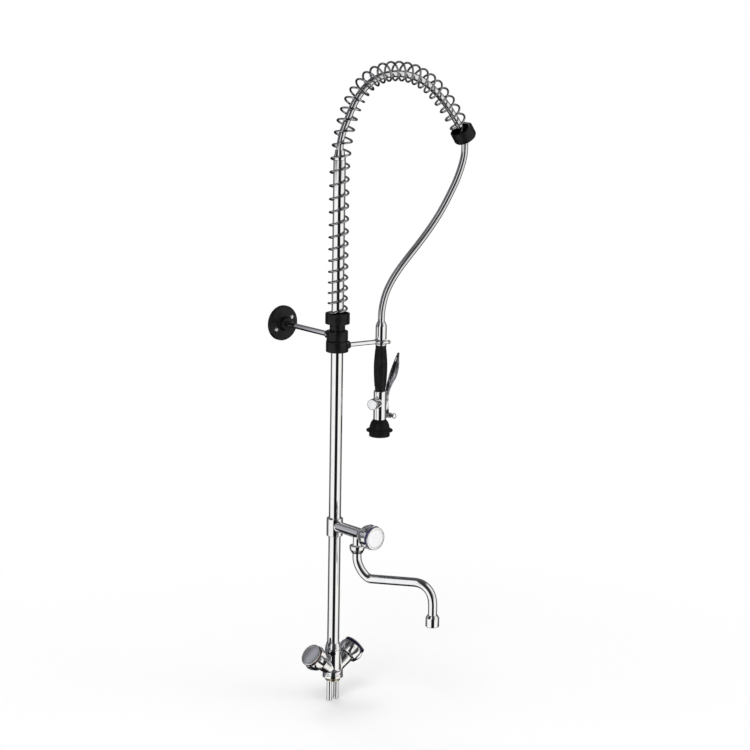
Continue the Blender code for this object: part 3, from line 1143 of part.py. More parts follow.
def make_bonnet(frame, level, inward):
    """The bonnet with the stem and its return spring inside."""
    end = BONNET_START + BONNET_LENGTH
    cavity = BONNET_START + BONNET_CAVITY_LENGTH
    bonnet = turned("valve_bonnet", [
        (0, end), (BONNET_RADIUS - 0.0012, end), (BONNET_RADIUS, end - 0.0012),
        (BONNET_RADIUS, BONNET_START), (BONNET_CAVITY_RADIUS, BONNET_START),
        (BONNET_CAVITY_RADIUS, cavity), (0, cavity)], CHROME, frame)
    place(bonnet, level, inward)
    flange_start = BONNET_START + GAP
    flange_end = flange_start + STEM_FLANGE_THICKNESS
    stem_end = flange_end + 0.002
    stem = turned("valve_stem", [
        (0, stem_end), (STEM_RADIUS, stem_end), (STEM_RADIUS, flange_end),
        (STEM_FLANGE_RADIUS, flange_end), (STEM_FLANGE_RADIUS, flange_start),
        (STEM_RADIUS, flange_start), (STEM_RADIUS, -STEM_TIP + 0.0006),
        (STEM_RADIUS - 0.0006, -STEM_TIP), (0, -STEM_TIP)], STEEL, frame, facets=SMALL_FACETS)
    place(stem, level, inward)
    first = flange_end + VALVE_SPRING_WIRE + GAP
    last = cavity - VALVE_SPRING_WIRE - GAP
    count = VALVE_SPRING_TURNS * 8
    points = []
    for k in range(count + 1):
        angle = 2 * math.pi * k / 8
        points.append((-first - (last - first) * k / count, VALVE_SPRING_RADIUS * math.cos(angle),
                       VALVE_AXIS_HEIGHT + VALVE_SPRING_RADIUS * math.sin(angle)))
    tube("valve_spring", points, VALVE_SPRING_WIRE, STEEL, frame, resolution=1)
    pitch = (last - first) / VALVE_SPRING_TURNS
    print("valve spring least gap to itself, mm:", round(1000 * (pitch - 2 * VALVE_SPRING_WIRE), 2))


def make_pin_and_ring(frame, half):
    """The lever's pin, and the small keeper ring through its head."""
    pivot_x, pivot_z = LEVER_PIVOT
    head = half + GAP
    pin = turned("lever_pin", [
        (0, half), (PIN_RADIUS, half), (PIN_RADIUS, -head), (PIN_HEAD_RADIUS, -head),
        (PIN_HEAD_RADIUS, -head - PIN_HEAD_LENGTH), (0, -head - PIN_HEAD_LENGTH)],
        STEEL, frame, facets=SMALL_FACETS)
    place(pin, (pivot_x, 0, pivot_z), aimed((0, 1, 0)))
    hole = -head - PIN_HEAD_LENGTH / 2
    boolean(pin, cylinder_cutter("ring_hole", RING_HOLE_RADIUS, pivot_z - 0.01, pivot_z + 0.01,
                                 frame, (pivot_x, hole, 0), facets=12))
    circle = arc_points((hole - RING_RADIUS + RING_SHIFT, pivot_z), RING_RADIUS, 0, 360, 18)[:-1]
    tube("keeper_ring", [(pivot_x, y, z) for y, z in circle], RING_WIRE_RADIUS, STEEL, frame,
         resolution=1, closed=True)


def lever_sides():
    """The lever's side outline: its middle line with half a thickness each way."""
    line = smooth_route(LEVER_LINE, 0.007)
    left, right = [], []
    for i, (x, z) in enumerate(line):
        before = line[max(i - 1, 0)]
        after = line[min(i + 1, len(line) - 1)]
        size = math.dist(before, after)
        normal = (-(after[1] - before[1]) / size, (after[0] - before[0]) / size)
        half = LEVER_THICKNESS / 2
        left.append((x + normal[0] * half, z + normal[1] * half))
        right.append((x - normal[0] * half, z - normal[1] * half))
    return left + right[::-1]


def lever_front():
    """The lever's front outline, as (across, height): foot, leaf and rounded tip."""
    foot = LEVER_FOOT_WIDTH / 2
    leaf = LEVER_LEAF_WIDTH / 2
    tip = LEVER_TIP_WIDTH / 2
    pivot_z = LEVER_PIVOT[1]
    tip_z = LEVER_LINE[-1][1] - tip
    side = [(foot, pivot_z - 0.01), (foot, LEVER_LEAF_START)]
    for i in range(1, 7):
        share = i / 6
        side.append((foot + (leaf - foot) * smooth_step(share),
                     LEVER_LEAF_START + (LEVER_LEAF_WIDEST - LEVER_LEAF_START) * share))
    for i in range(1, 6):
        share = i / 6
        side.append((leaf + (tip - leaf) * share ** 1.6,
                     LEVER_LEAF_WIDEST + (tip_z - LEVER_LEAF_WIDEST) * share))
    side += arc_points((0, tip_z), tip, 0, 90, 5)
    return side + [(-x, z) for x, z in side[::-1][1:]]


def make_lever(frame):
    """The squeeze lever: a bent strip cut to a leaf, with an eye round its pin."""
    upright = Matrix.Rotation(math.radians(90), 4, "X").to_quaternion()
    lever = flat_outline("lever", [lever_sides()], 2 * LEVER_LEAF_WIDTH, frame, upright, finish=CHROME)
    facing = (Matrix.Rotation(math.radians(90), 4, "Z") @ Matrix.Rotation(math.radians(90), 4, "X")).to_quaternion()
    front = flat_outline("lever_front", [lever_front()], 0.2, frame, facing, cutter=True)
    boolean(lever, front, "INTERSECT")
    pivot_x, pivot_z = LEVER_PIVOT
    across = aimed((0, 1, 0))
    half = LEVER_FOOT_WIDTH / 2
    boolean(lever, cylinder_cutter("lever_eye", LEVER_EYE_RADIUS, -half, half, frame,
                                   (pivot_x, 0, pivot_z), across, facets=20), "UNION")
    boolean(lever, cylinder_cutter("lever_eye_hole", PIN_RADIUS + GAP, -2 * half, 2 * half, frame,
                                   (pivot_x, 0, pivot_z), across, facets=SMALL_FACETS))


# ---------------------------------------------------------------- assembly
def build():
    """Make the frames on the joint axes, then every piece in its frame."""
    column = make_frame("column_frame")
    rise = math.radians(ARM_RISE)
    taps = {}
    for name, side in (("hot", -1), ("cold", 1)):
        taps[name] = make_frame(name + "_tap_axis", (0, 0, ARM_CENTRE_HEIGHT),
                                aimed((side * math.cos(rise), 0, math.sin(rise))), column)
    tap_axis = make_frame("spout_tap_axis", (0, -TAP_CENTRE_REACH, TEE_ARM_HEIGHT), aimed((0, -1, 0)), column)
    spout_axis = make_frame("spout_axis", (0, -SPOUT_REACH_FROM_RISER, 0), turned_about_z(SPOUT_TURN - 90), column)
    gantry = make_frame("gantry_axis", rotation=turned_about_z(GANTRY_TURN), parent=column)
    handset = make_frame("handset_axis", (HANDSET_REACH, 0, 0), parent=gantry)
    valve = make_frame("valve_frame", rotation=turned_about_z(VALVE_TURN), parent=handset)
    make_base(column)
    make_mixer_body(column, taps)
    make_riser(column)
    make_tap("hot", taps["hot"], RED_PLASTIC)
    make_tap("cold", taps["cold"], BLUE_PLASTIC)
    make_tap("tap", tap_axis, BLUE_PLASTIC)
    make_tee(column, tap_axis, spout_axis)
    make_spout(spout_axis, spout_axis)
    make_hook(gantry)
    make_wall_bracket(column)
    make_gantry(gantry)
    make_handset(handset)
    make_valve(valve)
    make_lever(valve)


clear_scene()
PARTS = make_collection("pre_rinse_faucet")
CUTTERS = make_collection("cutters")
build()
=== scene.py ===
"""The looks of a wall-braced pre rinse faucet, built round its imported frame."""

import json
import logging
import math
from dataclasses import dataclass
from enum import Enum
from typing import Callable, Sequence

import bmesh
import bpy
from mathutils import Matrix, Vector

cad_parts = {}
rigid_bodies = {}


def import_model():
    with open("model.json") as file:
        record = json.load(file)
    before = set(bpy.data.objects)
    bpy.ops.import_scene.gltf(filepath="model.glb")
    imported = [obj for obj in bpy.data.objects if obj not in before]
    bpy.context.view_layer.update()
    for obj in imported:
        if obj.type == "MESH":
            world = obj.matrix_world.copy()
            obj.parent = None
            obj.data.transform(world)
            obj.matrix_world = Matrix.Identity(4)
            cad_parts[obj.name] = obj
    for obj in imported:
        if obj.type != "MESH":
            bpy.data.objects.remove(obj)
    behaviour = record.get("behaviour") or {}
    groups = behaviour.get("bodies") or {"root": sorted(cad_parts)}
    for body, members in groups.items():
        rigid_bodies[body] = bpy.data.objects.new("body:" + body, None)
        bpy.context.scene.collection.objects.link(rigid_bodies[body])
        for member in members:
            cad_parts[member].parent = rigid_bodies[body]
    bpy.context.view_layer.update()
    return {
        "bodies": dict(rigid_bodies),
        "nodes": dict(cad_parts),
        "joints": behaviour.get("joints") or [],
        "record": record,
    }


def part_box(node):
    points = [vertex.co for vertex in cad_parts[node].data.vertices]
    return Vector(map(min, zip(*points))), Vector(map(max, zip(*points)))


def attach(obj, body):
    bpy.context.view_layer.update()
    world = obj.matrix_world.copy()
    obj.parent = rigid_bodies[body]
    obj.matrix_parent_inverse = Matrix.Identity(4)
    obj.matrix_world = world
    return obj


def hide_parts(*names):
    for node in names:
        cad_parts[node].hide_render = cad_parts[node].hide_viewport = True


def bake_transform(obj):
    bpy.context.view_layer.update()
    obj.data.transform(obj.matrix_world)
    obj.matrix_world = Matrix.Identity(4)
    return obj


LOG = logging.getLogger("faucet")
Outline = Sequence[tuple[float, float]]
Route = Sequence[tuple[float, float, float]]

GAP = 0.0003
ROUND = 96
SMALL_ROUND = 40
SHARP = math.radians(34)
CRISP = math.radians(50)
CAST_GRAIN = 0.0006
RISER_BORE = 0.0118
CARTRIDGE_BORE = (0.0093, 0.08, 0.024)


# -------------------------------- places
def turned_about_z(degrees: float) -> Matrix:
    """The matrix of a frame turned about Z."""
    return Matrix.Rotation(math.radians(degrees), 4, "Z")


def aimed(direction: Sequence[float]) -> Matrix:
    """The matrix that brings Z onto a direction."""
    return Vector((0, 0, 1)).rotation_difference(Vector(direction)).to_matrix().to_4x4()


def moved(x: float, y: float, z: float) -> Matrix:
    """The matrix of a plain move."""
    return Matrix.Translation((x, y, z))


RISE = math.radians(38)
HOOK_HEIGHT = 0.639
TEE_HEIGHT = 0.2955
HANDSET_REACH = 0.095
LEVER_PIVOT = (0.028, 0.493)
COLUMN = Matrix.Identity(4)
HOT_ARM = moved(0, 0, 0.010) @ aimed((-math.cos(RISE), 0, math.sin(RISE)))
COLD_ARM = moved(0, 0, 0.010) @ aimed((math.cos(RISE), 0, math.sin(RISE)))
SPOUT_ARM = moved(0, -0.049, TEE_HEIGHT) @ aimed((0, -1, 0))
SPOUT = moved(0, -0.066, 0) @ turned_about_z(-53)
GANTRY = turned_about_z(-9)
HANDSET = GANTRY @ moved(HANDSET_REACH, 0, 0)
VALVE = HANDSET @ turned_about_z(28)


# -------------------------------- routes
def arc_points(centre: tuple[float, float], radius: float, start: float, end: float,
               steps: int) -> list[tuple[float, float]]:
    """Points on an arc.

    Args:
        centre: The arc's centre.
        radius: Its radius.
        start: The first angle, in degrees.
        end: The last angle, in degrees.
        steps: How many steps it takes.

    Returns:
        The points, both ends among them.
    """
    angles = [math.radians(start + (end - start) * i / steps) for i in range(steps + 1)]
    return [(centre[0] + radius * math.cos(a), centre[1] + radius * math.sin(a)) for a in angles]


def bezier_point(p0: Sequence[float], p1: Sequence[float], p2: Sequence[float],
                 p3: Sequence[float], t: float) -> tuple[float, float]:
    """A point of a cubic curve in the plane.

    Args:
        p0: Where it starts.
        p1: The first handle.
        p2: The second handle.
        p3: Where it ends.
        t: How far along, from 0 to 1.

    Returns:
        The point.
    """
    s = 1.0 - t
    weights = (s ** 3, 3 * s * s * t, 3 * s * t * t, t ** 3)
    return tuple(sum(w * p[i] for w, p in zip(weights, (p0, p1, p2, p3))) for i in range(2))


def lengths_along(points: Sequence[Sequence[float]]) -> list[float]:
    """The length from the first point to each point.

    Args:
        points: A chain of points.

    Returns:
        One length for each of them.
    """
    found = [0.0]
    for a, b in zip(points, points[1:]):
        found.append(found[-1] + math.dist(a, b))
    return found


def point_at(points: Sequence[Sequence[float]], lengths: Sequence[float],
             distance: float) -> tuple[float, ...]:
    """The point at a length along a chain of points.

    Args:
        points: The chain.
        lengths: The length up to each of its points.
        distance: The wanted length.

    Returns:
        The point, held inside the chain.
    """
    distance = min(max(distance, 0.0), lengths[-1])
    low, high = 0, len(points) - 1
    while high - low > 1:
        middle = (low + high) // 2
        if lengths[middle] <= distance:
            low = middle
        else:
            high = middle
    share = (distance - lengths[low]) / (lengths[high] - lengths[low])
    return tuple(a + (b - a) * share for a, b in zip(points[low], points[high]))


def even_points(points: Sequence[Sequence[float]], spacing: float) -> list[tuple[float, ...]]:
    """The same chain with its points evenly spaced.

    Args:
        points: The chain.
        spacing: About how far apart they come to lie.

    Returns:
        The new points, both ends among them.
    """
    lengths = lengths_along(points)
    count = max(2, round(lengths[-1] / spacing))
    return [point_at(points, lengths, lengths[-1] * i / count) for i in range(count + 1)]


def smooth_route(points: Sequence[Sequence[float]], spacing: float,
                 steps: int = 16) -> list[tuple[float, ...]]:
    """Even points on the smooth curve through a list of points.

    Args:
        points: The points that it passes.
        spacing: The distance between the points that come back.
        steps: How many steps it takes from one given point to the next.

    Returns:
        The points of the curve.
    """
    before = tuple(2 * a - b for a, b in zip(points[0], points[1]))
    after = tuple(2 * a - b for a, b in zip(points[-1], points[-2]))
    chain = [before, *points, after]
    dense = []
    for i in range(1, len(chain) - 2):
        p0, p1, p2, p3 = chain[i - 1:i + 3]
        for k in range(steps):
            t = k / steps
            dense.append(tuple(
                0.5 * (2 * b + (c - a) * t + (2 * a - 5 * b + 4 * c - d) * t * t
                       + (3 * b - a - 3 * c + d) * t ** 3)
                for a, b, c, d in zip(p0, p1, p2, p3)))
    dense.append(tuple(points[-1]))
    return even_points(dense, spacing)


def smooth_step(value: float) -> float:
    """Zero to one with level ends, and held between them."""
    value = min(max(value, 0.0), 1.0)
    return value * value * (3 - 2 * value)


def eased(outline: Outline, radius: float, closed: bool = False, steps: int = 4) -> list[tuple[float, float]]:
    """An outline with its corners rounded, as a turned and polished edge has them.

    Args:
        outline: The corners, as (radius, height).
        radius: The most that a corner is cut back each way.
        closed: Whether the last corner joins the first.
        steps: How many steps a rounded corner takes.

    Returns:
        The rounded outline.
    """
    count = len(outline)
    found = []
    for i, (x, z) in enumerate(outline):
        if not closed and i in (0, count - 1):
            found.append((x, z))
            continue
        corner = Vector((x, z))
        before = Vector(outline[i - 1]) - corner
        after = Vector(outline[(i + 1) % count]) - corner
        if x < 1e-6 or before.length < 1e-6 or after.length < 1e-6 or before.angle(after) > math.radians(168):
            found.append((x, z))
            continue
        cut = min(radius, 0.42 * before.length, 0.42 * after.length)
        start, end = corner + before.normalized() * cut, corner + after.normalized() * cut
        for k in range(steps + 1):
            t = k / steps
            point = start * (1 - t) ** 2 + corner * 2 * t * (1 - t) + end * t * t
            found.append((max(point.x, 0.0), point.y))
    return found


# -------------------------------- forms
class Form:
    """A mesh in the making: closed shells, gathered in one frame."""

    def __init__(self, frame: Matrix = COLUMN) -> None:
        """Start an empty form in a frame."""
        self.frame = frame
        self.shape = bmesh.new()

    def _rings(self, rings: list[list[Vector]], looped: bool) -> "Form":
        """Add a shell from rings of points.

        Args:
            rings: The rings, where a ring of one point is a pole.
            looped: Whether the last ring joins the first.

        Returns:
            This form.
        """
        made = [[self.shape.verts.new(p) for p in ring] for ring in rings]
        pairs = list(zip(made, made[1:])) + ([(made[-1], made[0])] if looped else [])
        for low, high in pairs:
            count = max(len(low), len(high))
            for k in range(count):
                corners = [low[k % len(low)], low[(k + 1) % len(low)],
                           high[(k + 1) % len(high)], high[k % len(high)]]
                distinct = list(dict.fromkeys(corners))
                if len(distinct) > 2:
                    self.shape.faces.new(distinct)
        return self

    def turned(self, outline: Outline, place: Matrix = COLUMN, closed: bool = False,
               sides: int = ROUND, ease: float = 0.0006) -> "Form":
        """Add an outline turned about Z.

        Args:
            outline: The section, as (radius, height), from axis to axis or closed.
            place: Where its own frame lies in this form's frame.
            closed: Whether the section is a loop off the axis.
            sides: How many sides the round has.
            ease: How far its corners are rounded.

        Returns:
            This form.
        """
        rings = []
        for radius, height in eased(outline, ease, closed) if ease else outline:
            if radius < 1e-7:
                rings.append([place @ Vector((0, 0, height))])
                continue
            rings.append([place @ Vector((radius * math.cos(2 * math.pi * k / sides),
                                          radius * math.sin(2 * math.pi * k / sides), height))
                          for k in range(sides)])
        return self._rings(rings, closed)

    def bar(self, radius: float, high: float, low: float, place: Matrix = COLUMN, sides: int = ROUND,
            ease: float = 0.0) -> "Form":
        """Add a plain round bar along Z, which is also what a bore is cut with.

        Args:
            radius: Its radius.
            high: Where it ends above.
            low: Where it ends below.
            place: Where its own frame lies in this form's frame.
            sides: How many sides the round has.
            ease: How far its two rims are rounded.

        Returns:
            This form.
        """
        outline = [(0, high), (radius, high), (radius, low), (0, low)]
        return self.turned(outline, place, sides=sides, ease=ease)

    def swept(self, points: Route, radius: float | Callable[[float], float], sides: int = 32,
              looped: bool = False) -> "Form":
        """Add a round bar along a route.

        Args:
            points: The middle line.
            radius: Its radius, or a rule that gives it from the share of the length.
            sides: How many sides its section has.
            looped: Whether its end joins its start.

        Returns:
            This form.
        """
        line = [Vector(p) for p in points]
        lengths = lengths_along(line)
        rings = []
        across = None
        for i, point in enumerate(line):
            after = line[(i + 1) % len(line)] if looped else line[min(i + 1, len(line) - 1)]
            before = line[i - 1] if looped or i else line[0]
            along = (after - before).normalized()
            if across is None:
                across = along.orthogonal().normalized()
            across = (across - along * across.dot(along)).normalized()
            third = along.cross(across)
            size = radius(lengths[i] / lengths[-1]) if callable(radius) else radius
            rings.append([point + (across * math.cos(2 * math.pi * k / sides)
                                   + third * math.sin(2 * math.pi * k / sides)) * size
                          for k in range(sides)])
        if looped:
            return self._rings(rings, True)
        return self._rings([[line[0]], *rings, [line[-1]]], False)

    def loft(self, rings: list[list[Vector]]) -> "Form":
        """Add a shell from ready rings, which start and end in poles."""
        return self._rings(rings, False)

    def plate(self, outline: Outline, thickness: float, place: Matrix) -> "Form":
        """Add a flat plate.

        Args:
            outline: Its corners in the XY plane.
            thickness: How thick it is along Z, half of it on each side of zero.
            place: Where its own frame lies in this form's frame.

        Returns:
            This form.
        """
        half = thickness / 2
        count = len(outline)
        low = [self.shape.verts.new(place @ Vector((x, y, -half))) for x, y in outline]
        high = [self.shape.verts.new(place @ Vector((x, y, half))) for x, y in outline]
        self.shape.faces.new(low[::-1])
        self.shape.faces.new(high)
        for k in range(count):
            n = (k + 1) % count
            self.shape.faces.new((low[k], low[n], high[n], high[k]))
        return self

    def made(self, name: str, sharp: float = SHARP) -> bpy.types.Object:
        """The form as a piece: its faces outwards, its place in its mesh.

        Args:
            name: The piece's name.
            sharp: The angle past which an edge stays crisp.

        Returns:
            The linked object.
        """
        bmesh.ops.recalc_face_normals(self.shape, faces=self.shape.faces)
        mesh = bpy.data.meshes.new(name)
        self.shape.to_mesh(mesh)
        self.shape.free()
        mesh.transform(self.frame)
        return linked(name, mesh, sharp)


def in_scene(name: str, data: bpy.types.ID) -> bpy.types.Object:
    """Put a new object into the scene.

    Args:
        name: The object's name.
        data: Its mesh, lamp or camera.

    Returns:
        The object.
    """
    item = bpy.data.objects.new(name, data)
    bpy.context.scene.collection.objects.link(item)
    return item


def linked(name: str, mesh: bpy.types.Mesh, sharp: float = SHARP) -> bpy.types.Object:
    """Link a mesh as an object, smooth but for its sharp edges.

    Args:
        name: The object's name.
        mesh: Its mesh.
        sharp: The angle past which an edge stays crisp.

    Returns:
        The object.
    """
    mesh.shade_smooth()
    mesh.set_sharp_from_angle(angle=sharp)
    mesh.validate()
    return in_scene(name, mesh)


def settled(item: bpy.types.Object, sharp: float = SHARP) -> bpy.types.Object:
    """The same piece with its modifiers made part of a plain mesh.

    Args:
        item: The object, with live modifiers.
        sharp: The angle past which an edge stays crisp.

    Returns:
        The object, now without modifiers.
    """
    graph = bpy.context.evaluated_depsgraph_get()
    graph.update()
    mesh = bpy.data.meshes.new_from_object(item.evaluated_get(graph), depsgraph=graph)
    name = item.name
    old = item.data
    bpy.data.objects.remove(item)
    if old.users == 0 and isinstance(old, bpy.types.Mesh):
        bpy.data.meshes.remove(old)
    mesh.name = name
    return linked(name, mesh, sharp)


def cast_in_one(item: bpy.types.Object, grain: float, rounds: int = 8) -> bpy.types.Object:
    """Melt overlapping shells into one casting with small fillets where they meet.

    Args:
        item: The piece, as overlapping closed shells.
        grain: The size of the remeshed faces, in metres.
        rounds: How often the skin is evened out.

    Returns:
        The casting.
    """
    melt = item.modifiers.new("Melt", "REMESH")
    melt.mode = "VOXEL"
    melt.voxel_size = grain
    even = item.modifiers.new("Even", "SMOOTH")
    even.factor = 0.5
    even.iterations = rounds
    return settled(item, math.radians(60))


def bored(item: bpy.types.Object, tool: Form, sharp: float = SHARP) -> bpy.types.Object:
    """Cut a form out of a piece.

    Args:
        item: The piece.
        tool: What is cut away, in the frame of the object.
        sharp: The angle past which an edge stays crisp.

    Returns:
        The cut piece.
    """
    cutter = tool.made(item.name + "_tool")
    cut = item.modifiers.new("Bore", "BOOLEAN")
    cut.operation = "DIFFERENCE"
    cut.solver = "EXACT"
    cut.object = cutter
    done = settled(item, sharp)
    bpy.data.objects.remove(cutter)
    return done


# -------------------------------- effects and finishes
class Wiring:
    """A node tree, with short ways to add nodes and join them."""

    def __init__(self, tree: bpy.types.NodeTree) -> None:
        """Take a tree to work on."""
        self.tree = tree

    @classmethod
    def blank(cls, owner: bpy.types.Material | bpy.types.World) -> "Wiring":
        """Empty the tree of a material or a world.

        Args:
            owner: The material or world.

        Returns:
            Its tree, to add to.
        """
        owner.use_nodes = True
        owner.node_tree.nodes.clear()
        return cls(owner.node_tree)

    def put(self, kind: str, inputs: dict | None = None, **settings: object) -> bpy.types.Node:
        """Add a node.

        Args:
            kind: The node's type.
            inputs: A value, or a socket to join, for each of its inputs.
            settings: Its other properties.

        Returns:
            The new node.
        """
        node = self.tree.nodes.new(kind)
        for key, value in settings.items():
            setattr(node, key, value)
        for key, value in (inputs or {}).items():
            if isinstance(value, bpy.types.NodeSocket):
                self.tree.links.new(value, node.inputs[key])
            else:
                node.inputs[key].default_value = value
        return node

    def sum(self, operation: str, first: object, second: object = 0.0) -> bpy.types.NodeSocket:
        """The result of a Math node on one or two values or sockets."""
        return self.put("ShaderNodeMath", {0: first, 1: second}, operation=operation).outputs[0]

    def noise(self, where: bpy.types.NodeSocket, scale: object, detail: float = 3.0,
              roughness: float = 0.55) -> bpy.types.NodeSocket:
        """A noise value at a place."""
        inputs = {"Vector": where, "Scale": scale, "Detail": detail, "Roughness": roughness}
        return self.put("ShaderNodeTexNoise", inputs).outputs["Fac"]

    def between(self, value: object, low: float, high: float, new_low: object = 0.0,
                new_high: object = 1.0) -> bpy.types.NodeSocket:
        """A value moved from one range to another, held inside it."""
        inputs = {"Value": value, "From Min": low, "From Max": high, "To Min": new_low, "To Max": new_high}
        return self.put("ShaderNodeMapRange", inputs).outputs["Result"]

    def colours(self, share: object, first: object, second: object) -> bpy.types.NodeSocket:
        """A colour between two others."""
        return self.put("ShaderNodeMix", {0: share, 6: first, 7: second}, data_type="RGBA").outputs[2]


class Effect(Enum):
    """The surface effects, each one a shader node group that is built once."""

    POLISH = "polish_marks"
    MOULD = "moulded_grain"
    RUBBER = "rubber_bloom"
    WEAVE = "braid_weave_painted_shade"

    def group(self) -> bpy.types.NodeTree:
        """The group of this effect, built the first time it is asked for.

        Returns:
            The group, with Where and Scale in, and Tint, Sheen and Height out.
        """
        found = bpy.data.node_groups.get(self.value)
        if found:
            return found
        tree = bpy.data.node_groups.new(self.value, "ShaderNodeTree")
        tree.interface.new_socket("Where", in_out="INPUT", socket_type="NodeSocketVector")
        tree.interface.new_socket("Scale", in_out="INPUT", socket_type="NodeSocketFloat")
        for name in ("Tint", "Sheen", "Height"):
            tree.interface.new_socket(name, in_out="OUTPUT", socket_type="NodeSocketFloat")
        wires = Wiring(tree)
        start = wires.put("NodeGroupInput")
        where, scale = start.outputs["Where"], start.outputs["Scale"]
        rules = {Effect.POLISH: self._polish, Effect.MOULD: self._mould, Effect.RUBBER: self._rubber,
                 Effect.WEAVE: self._weave}
        tint, sheen, height = rules[self](wires, where, scale)
        wires.put("NodeGroupOutput", {"Tint": tint, "Sheen": sheen, "Height": height})
        return tree

    @staticmethod
    def _polish(wires: Wiring, where: bpy.types.NodeSocket, scale: bpy.types.NodeSocket) -> tuple:
        """Faint cloudy smears and buffing lines on plated metal.

        Args:
            wires: The group to add to.
            where: The place on the surface.
            scale: How fine the effect is.

        Returns:
            Its tint, its sheen and its height.
        """
        smear = wires.noise(where, scale, 4.0, 0.6)
        stretched = wires.put("ShaderNodeMapping", {"Vector": where, "Scale": (1.0, 1.0, 0.12)}).outputs[0]
        lines = wires.noise(stretched, wires.sum("MULTIPLY", scale, 26.0), 2.0, 0.5)
        spots = wires.noise(where, wires.sum("MULTIPLY", scale, 9.0), 2.0, 0.5)
        tint = wires.between(smear, 0.38, 0.72)
        sheen = wires.sum("ADD", wires.sum("MULTIPLY", tint, 0.6), wires.between(spots, 0.55, 0.8, 0.0, 0.4))
        height = wires.sum("ADD", wires.sum("MULTIPLY", lines, 0.25), wires.sum("MULTIPLY", smear, 0.75))
        return tint, sheen, height

    @staticmethod
    def _mould(wires: Wiring, where: bpy.types.NodeSocket, scale: bpy.types.NodeSocket) -> tuple:
        """The fine pebbled grain of a moulded plastic, with a slow change of shade.

        Args:
            wires: The group to add to.
            where: The place on the surface.
            scale: How fine the effect is.

        Returns:
            Its tint, its sheen and its height.
        """
        pebbles = wires.sum("MULTIPLY", scale, 22.0)
        cells = wires.put("ShaderNodeTexVoronoi", {"Vector": where, "Scale": pebbles})
        grain = wires.noise(where, wires.sum("MULTIPLY", scale, 40.0), 2.0, 0.5)
        slow = wires.noise(where, scale, 2.0, 0.5)
        tint = wires.between(slow, 0.35, 0.7)
        height = wires.sum("ADD", wires.sum("MULTIPLY", cells.outputs["Distance"], 0.7),
                           wires.sum("MULTIPLY", grain, 0.6))
        sheen = wires.sum("ADD", wires.sum("MULTIPLY", grain, 0.6), wires.sum("MULTIPLY", tint, 0.4))
        return tint, sheen, height

    @staticmethod
    def _rubber(wires: Wiring, where: bpy.types.NodeSocket, scale: bpy.types.NodeSocket) -> tuple:
        """A dull rubber with a pale bloom in patches.

        Args:
            wires: The group to add to.
            where: The place on the surface.
            scale: How fine the effect is.

        Returns:
            Its tint, its sheen and its height.
        """
        bloom = wires.noise(where, scale, 6.0, 0.65)
        speckle = wires.noise(where, wires.sum("MULTIPLY", scale, 30.0), 2.0, 0.5)
        patches = wires.between(bloom, 0.45, 0.75)
        tint = wires.sum("MULTIPLY", patches, wires.between(speckle, 0.3, 0.7, 0.5, 1.0))
        sheen = wires.sum("ADD", wires.sum("MULTIPLY", tint, 0.5), wires.sum("MULTIPLY", speckle, 0.5))
        return tint, sheen, speckle

    @staticmethod
    def _weave(wires: Wiring, where: bpy.types.NodeSocket, scale: bpy.types.NodeSocket) -> tuple:
        """Flat strands that cross over and under round a hose, with painted shade on the strands' sides and
        in the gaps between them.

        Args:
            wires: The group to add to.
            where: The hose's own map: once round, and metres along.
            scale: How many strands cross in a metre.

        Returns:
            Its tint, which is the painted shade, its sheen and its height.
        """
        parts = wires.put("ShaderNodeSeparateXYZ", {0: where}).outputs
        strands = 24.0
        around = wires.sum("MULTIPLY", parts[0], strands)
        onward = wires.sum("MULTIPLY", parts[1], scale)
        left = wires.sum("ADD", around, onward)
        right = wires.sum("SUBTRACT", around, onward)
        count = wires.sum("ADD", wires.sum("FLOOR", left), wires.sum("FLOOR", right))
        over = wires.sum("PINGPONG", count, 1.0)
        bulges = []
        for strand in (left, right):
            off = wires.between(wires.sum("FRACT", strand), 0.0, 1.0, -1.0, 1.0)
            bulges.append(wires.sum("SUBTRACT", 1.0, wires.sum("ABSOLUTE", off)))
        top = wires.put("ShaderNodeMix", {0: over, 2: bulges[0], 3: bulges[1]}).outputs[0]
        height = wires.between(top, 0.0, 0.55)
        wire = wires.sum("PINGPONG", wires.sum("MULTIPLY", top, 4.0), 1.0)
        # painted shade: the colour darkens towards each strand's edges and in the gaps between strands
        tint = wires.sum("SUBTRACT", 1.0, height)
        return tint, tint, wires.sum("ADD", height, wires.sum("MULTIPLY", wire, 0.22))


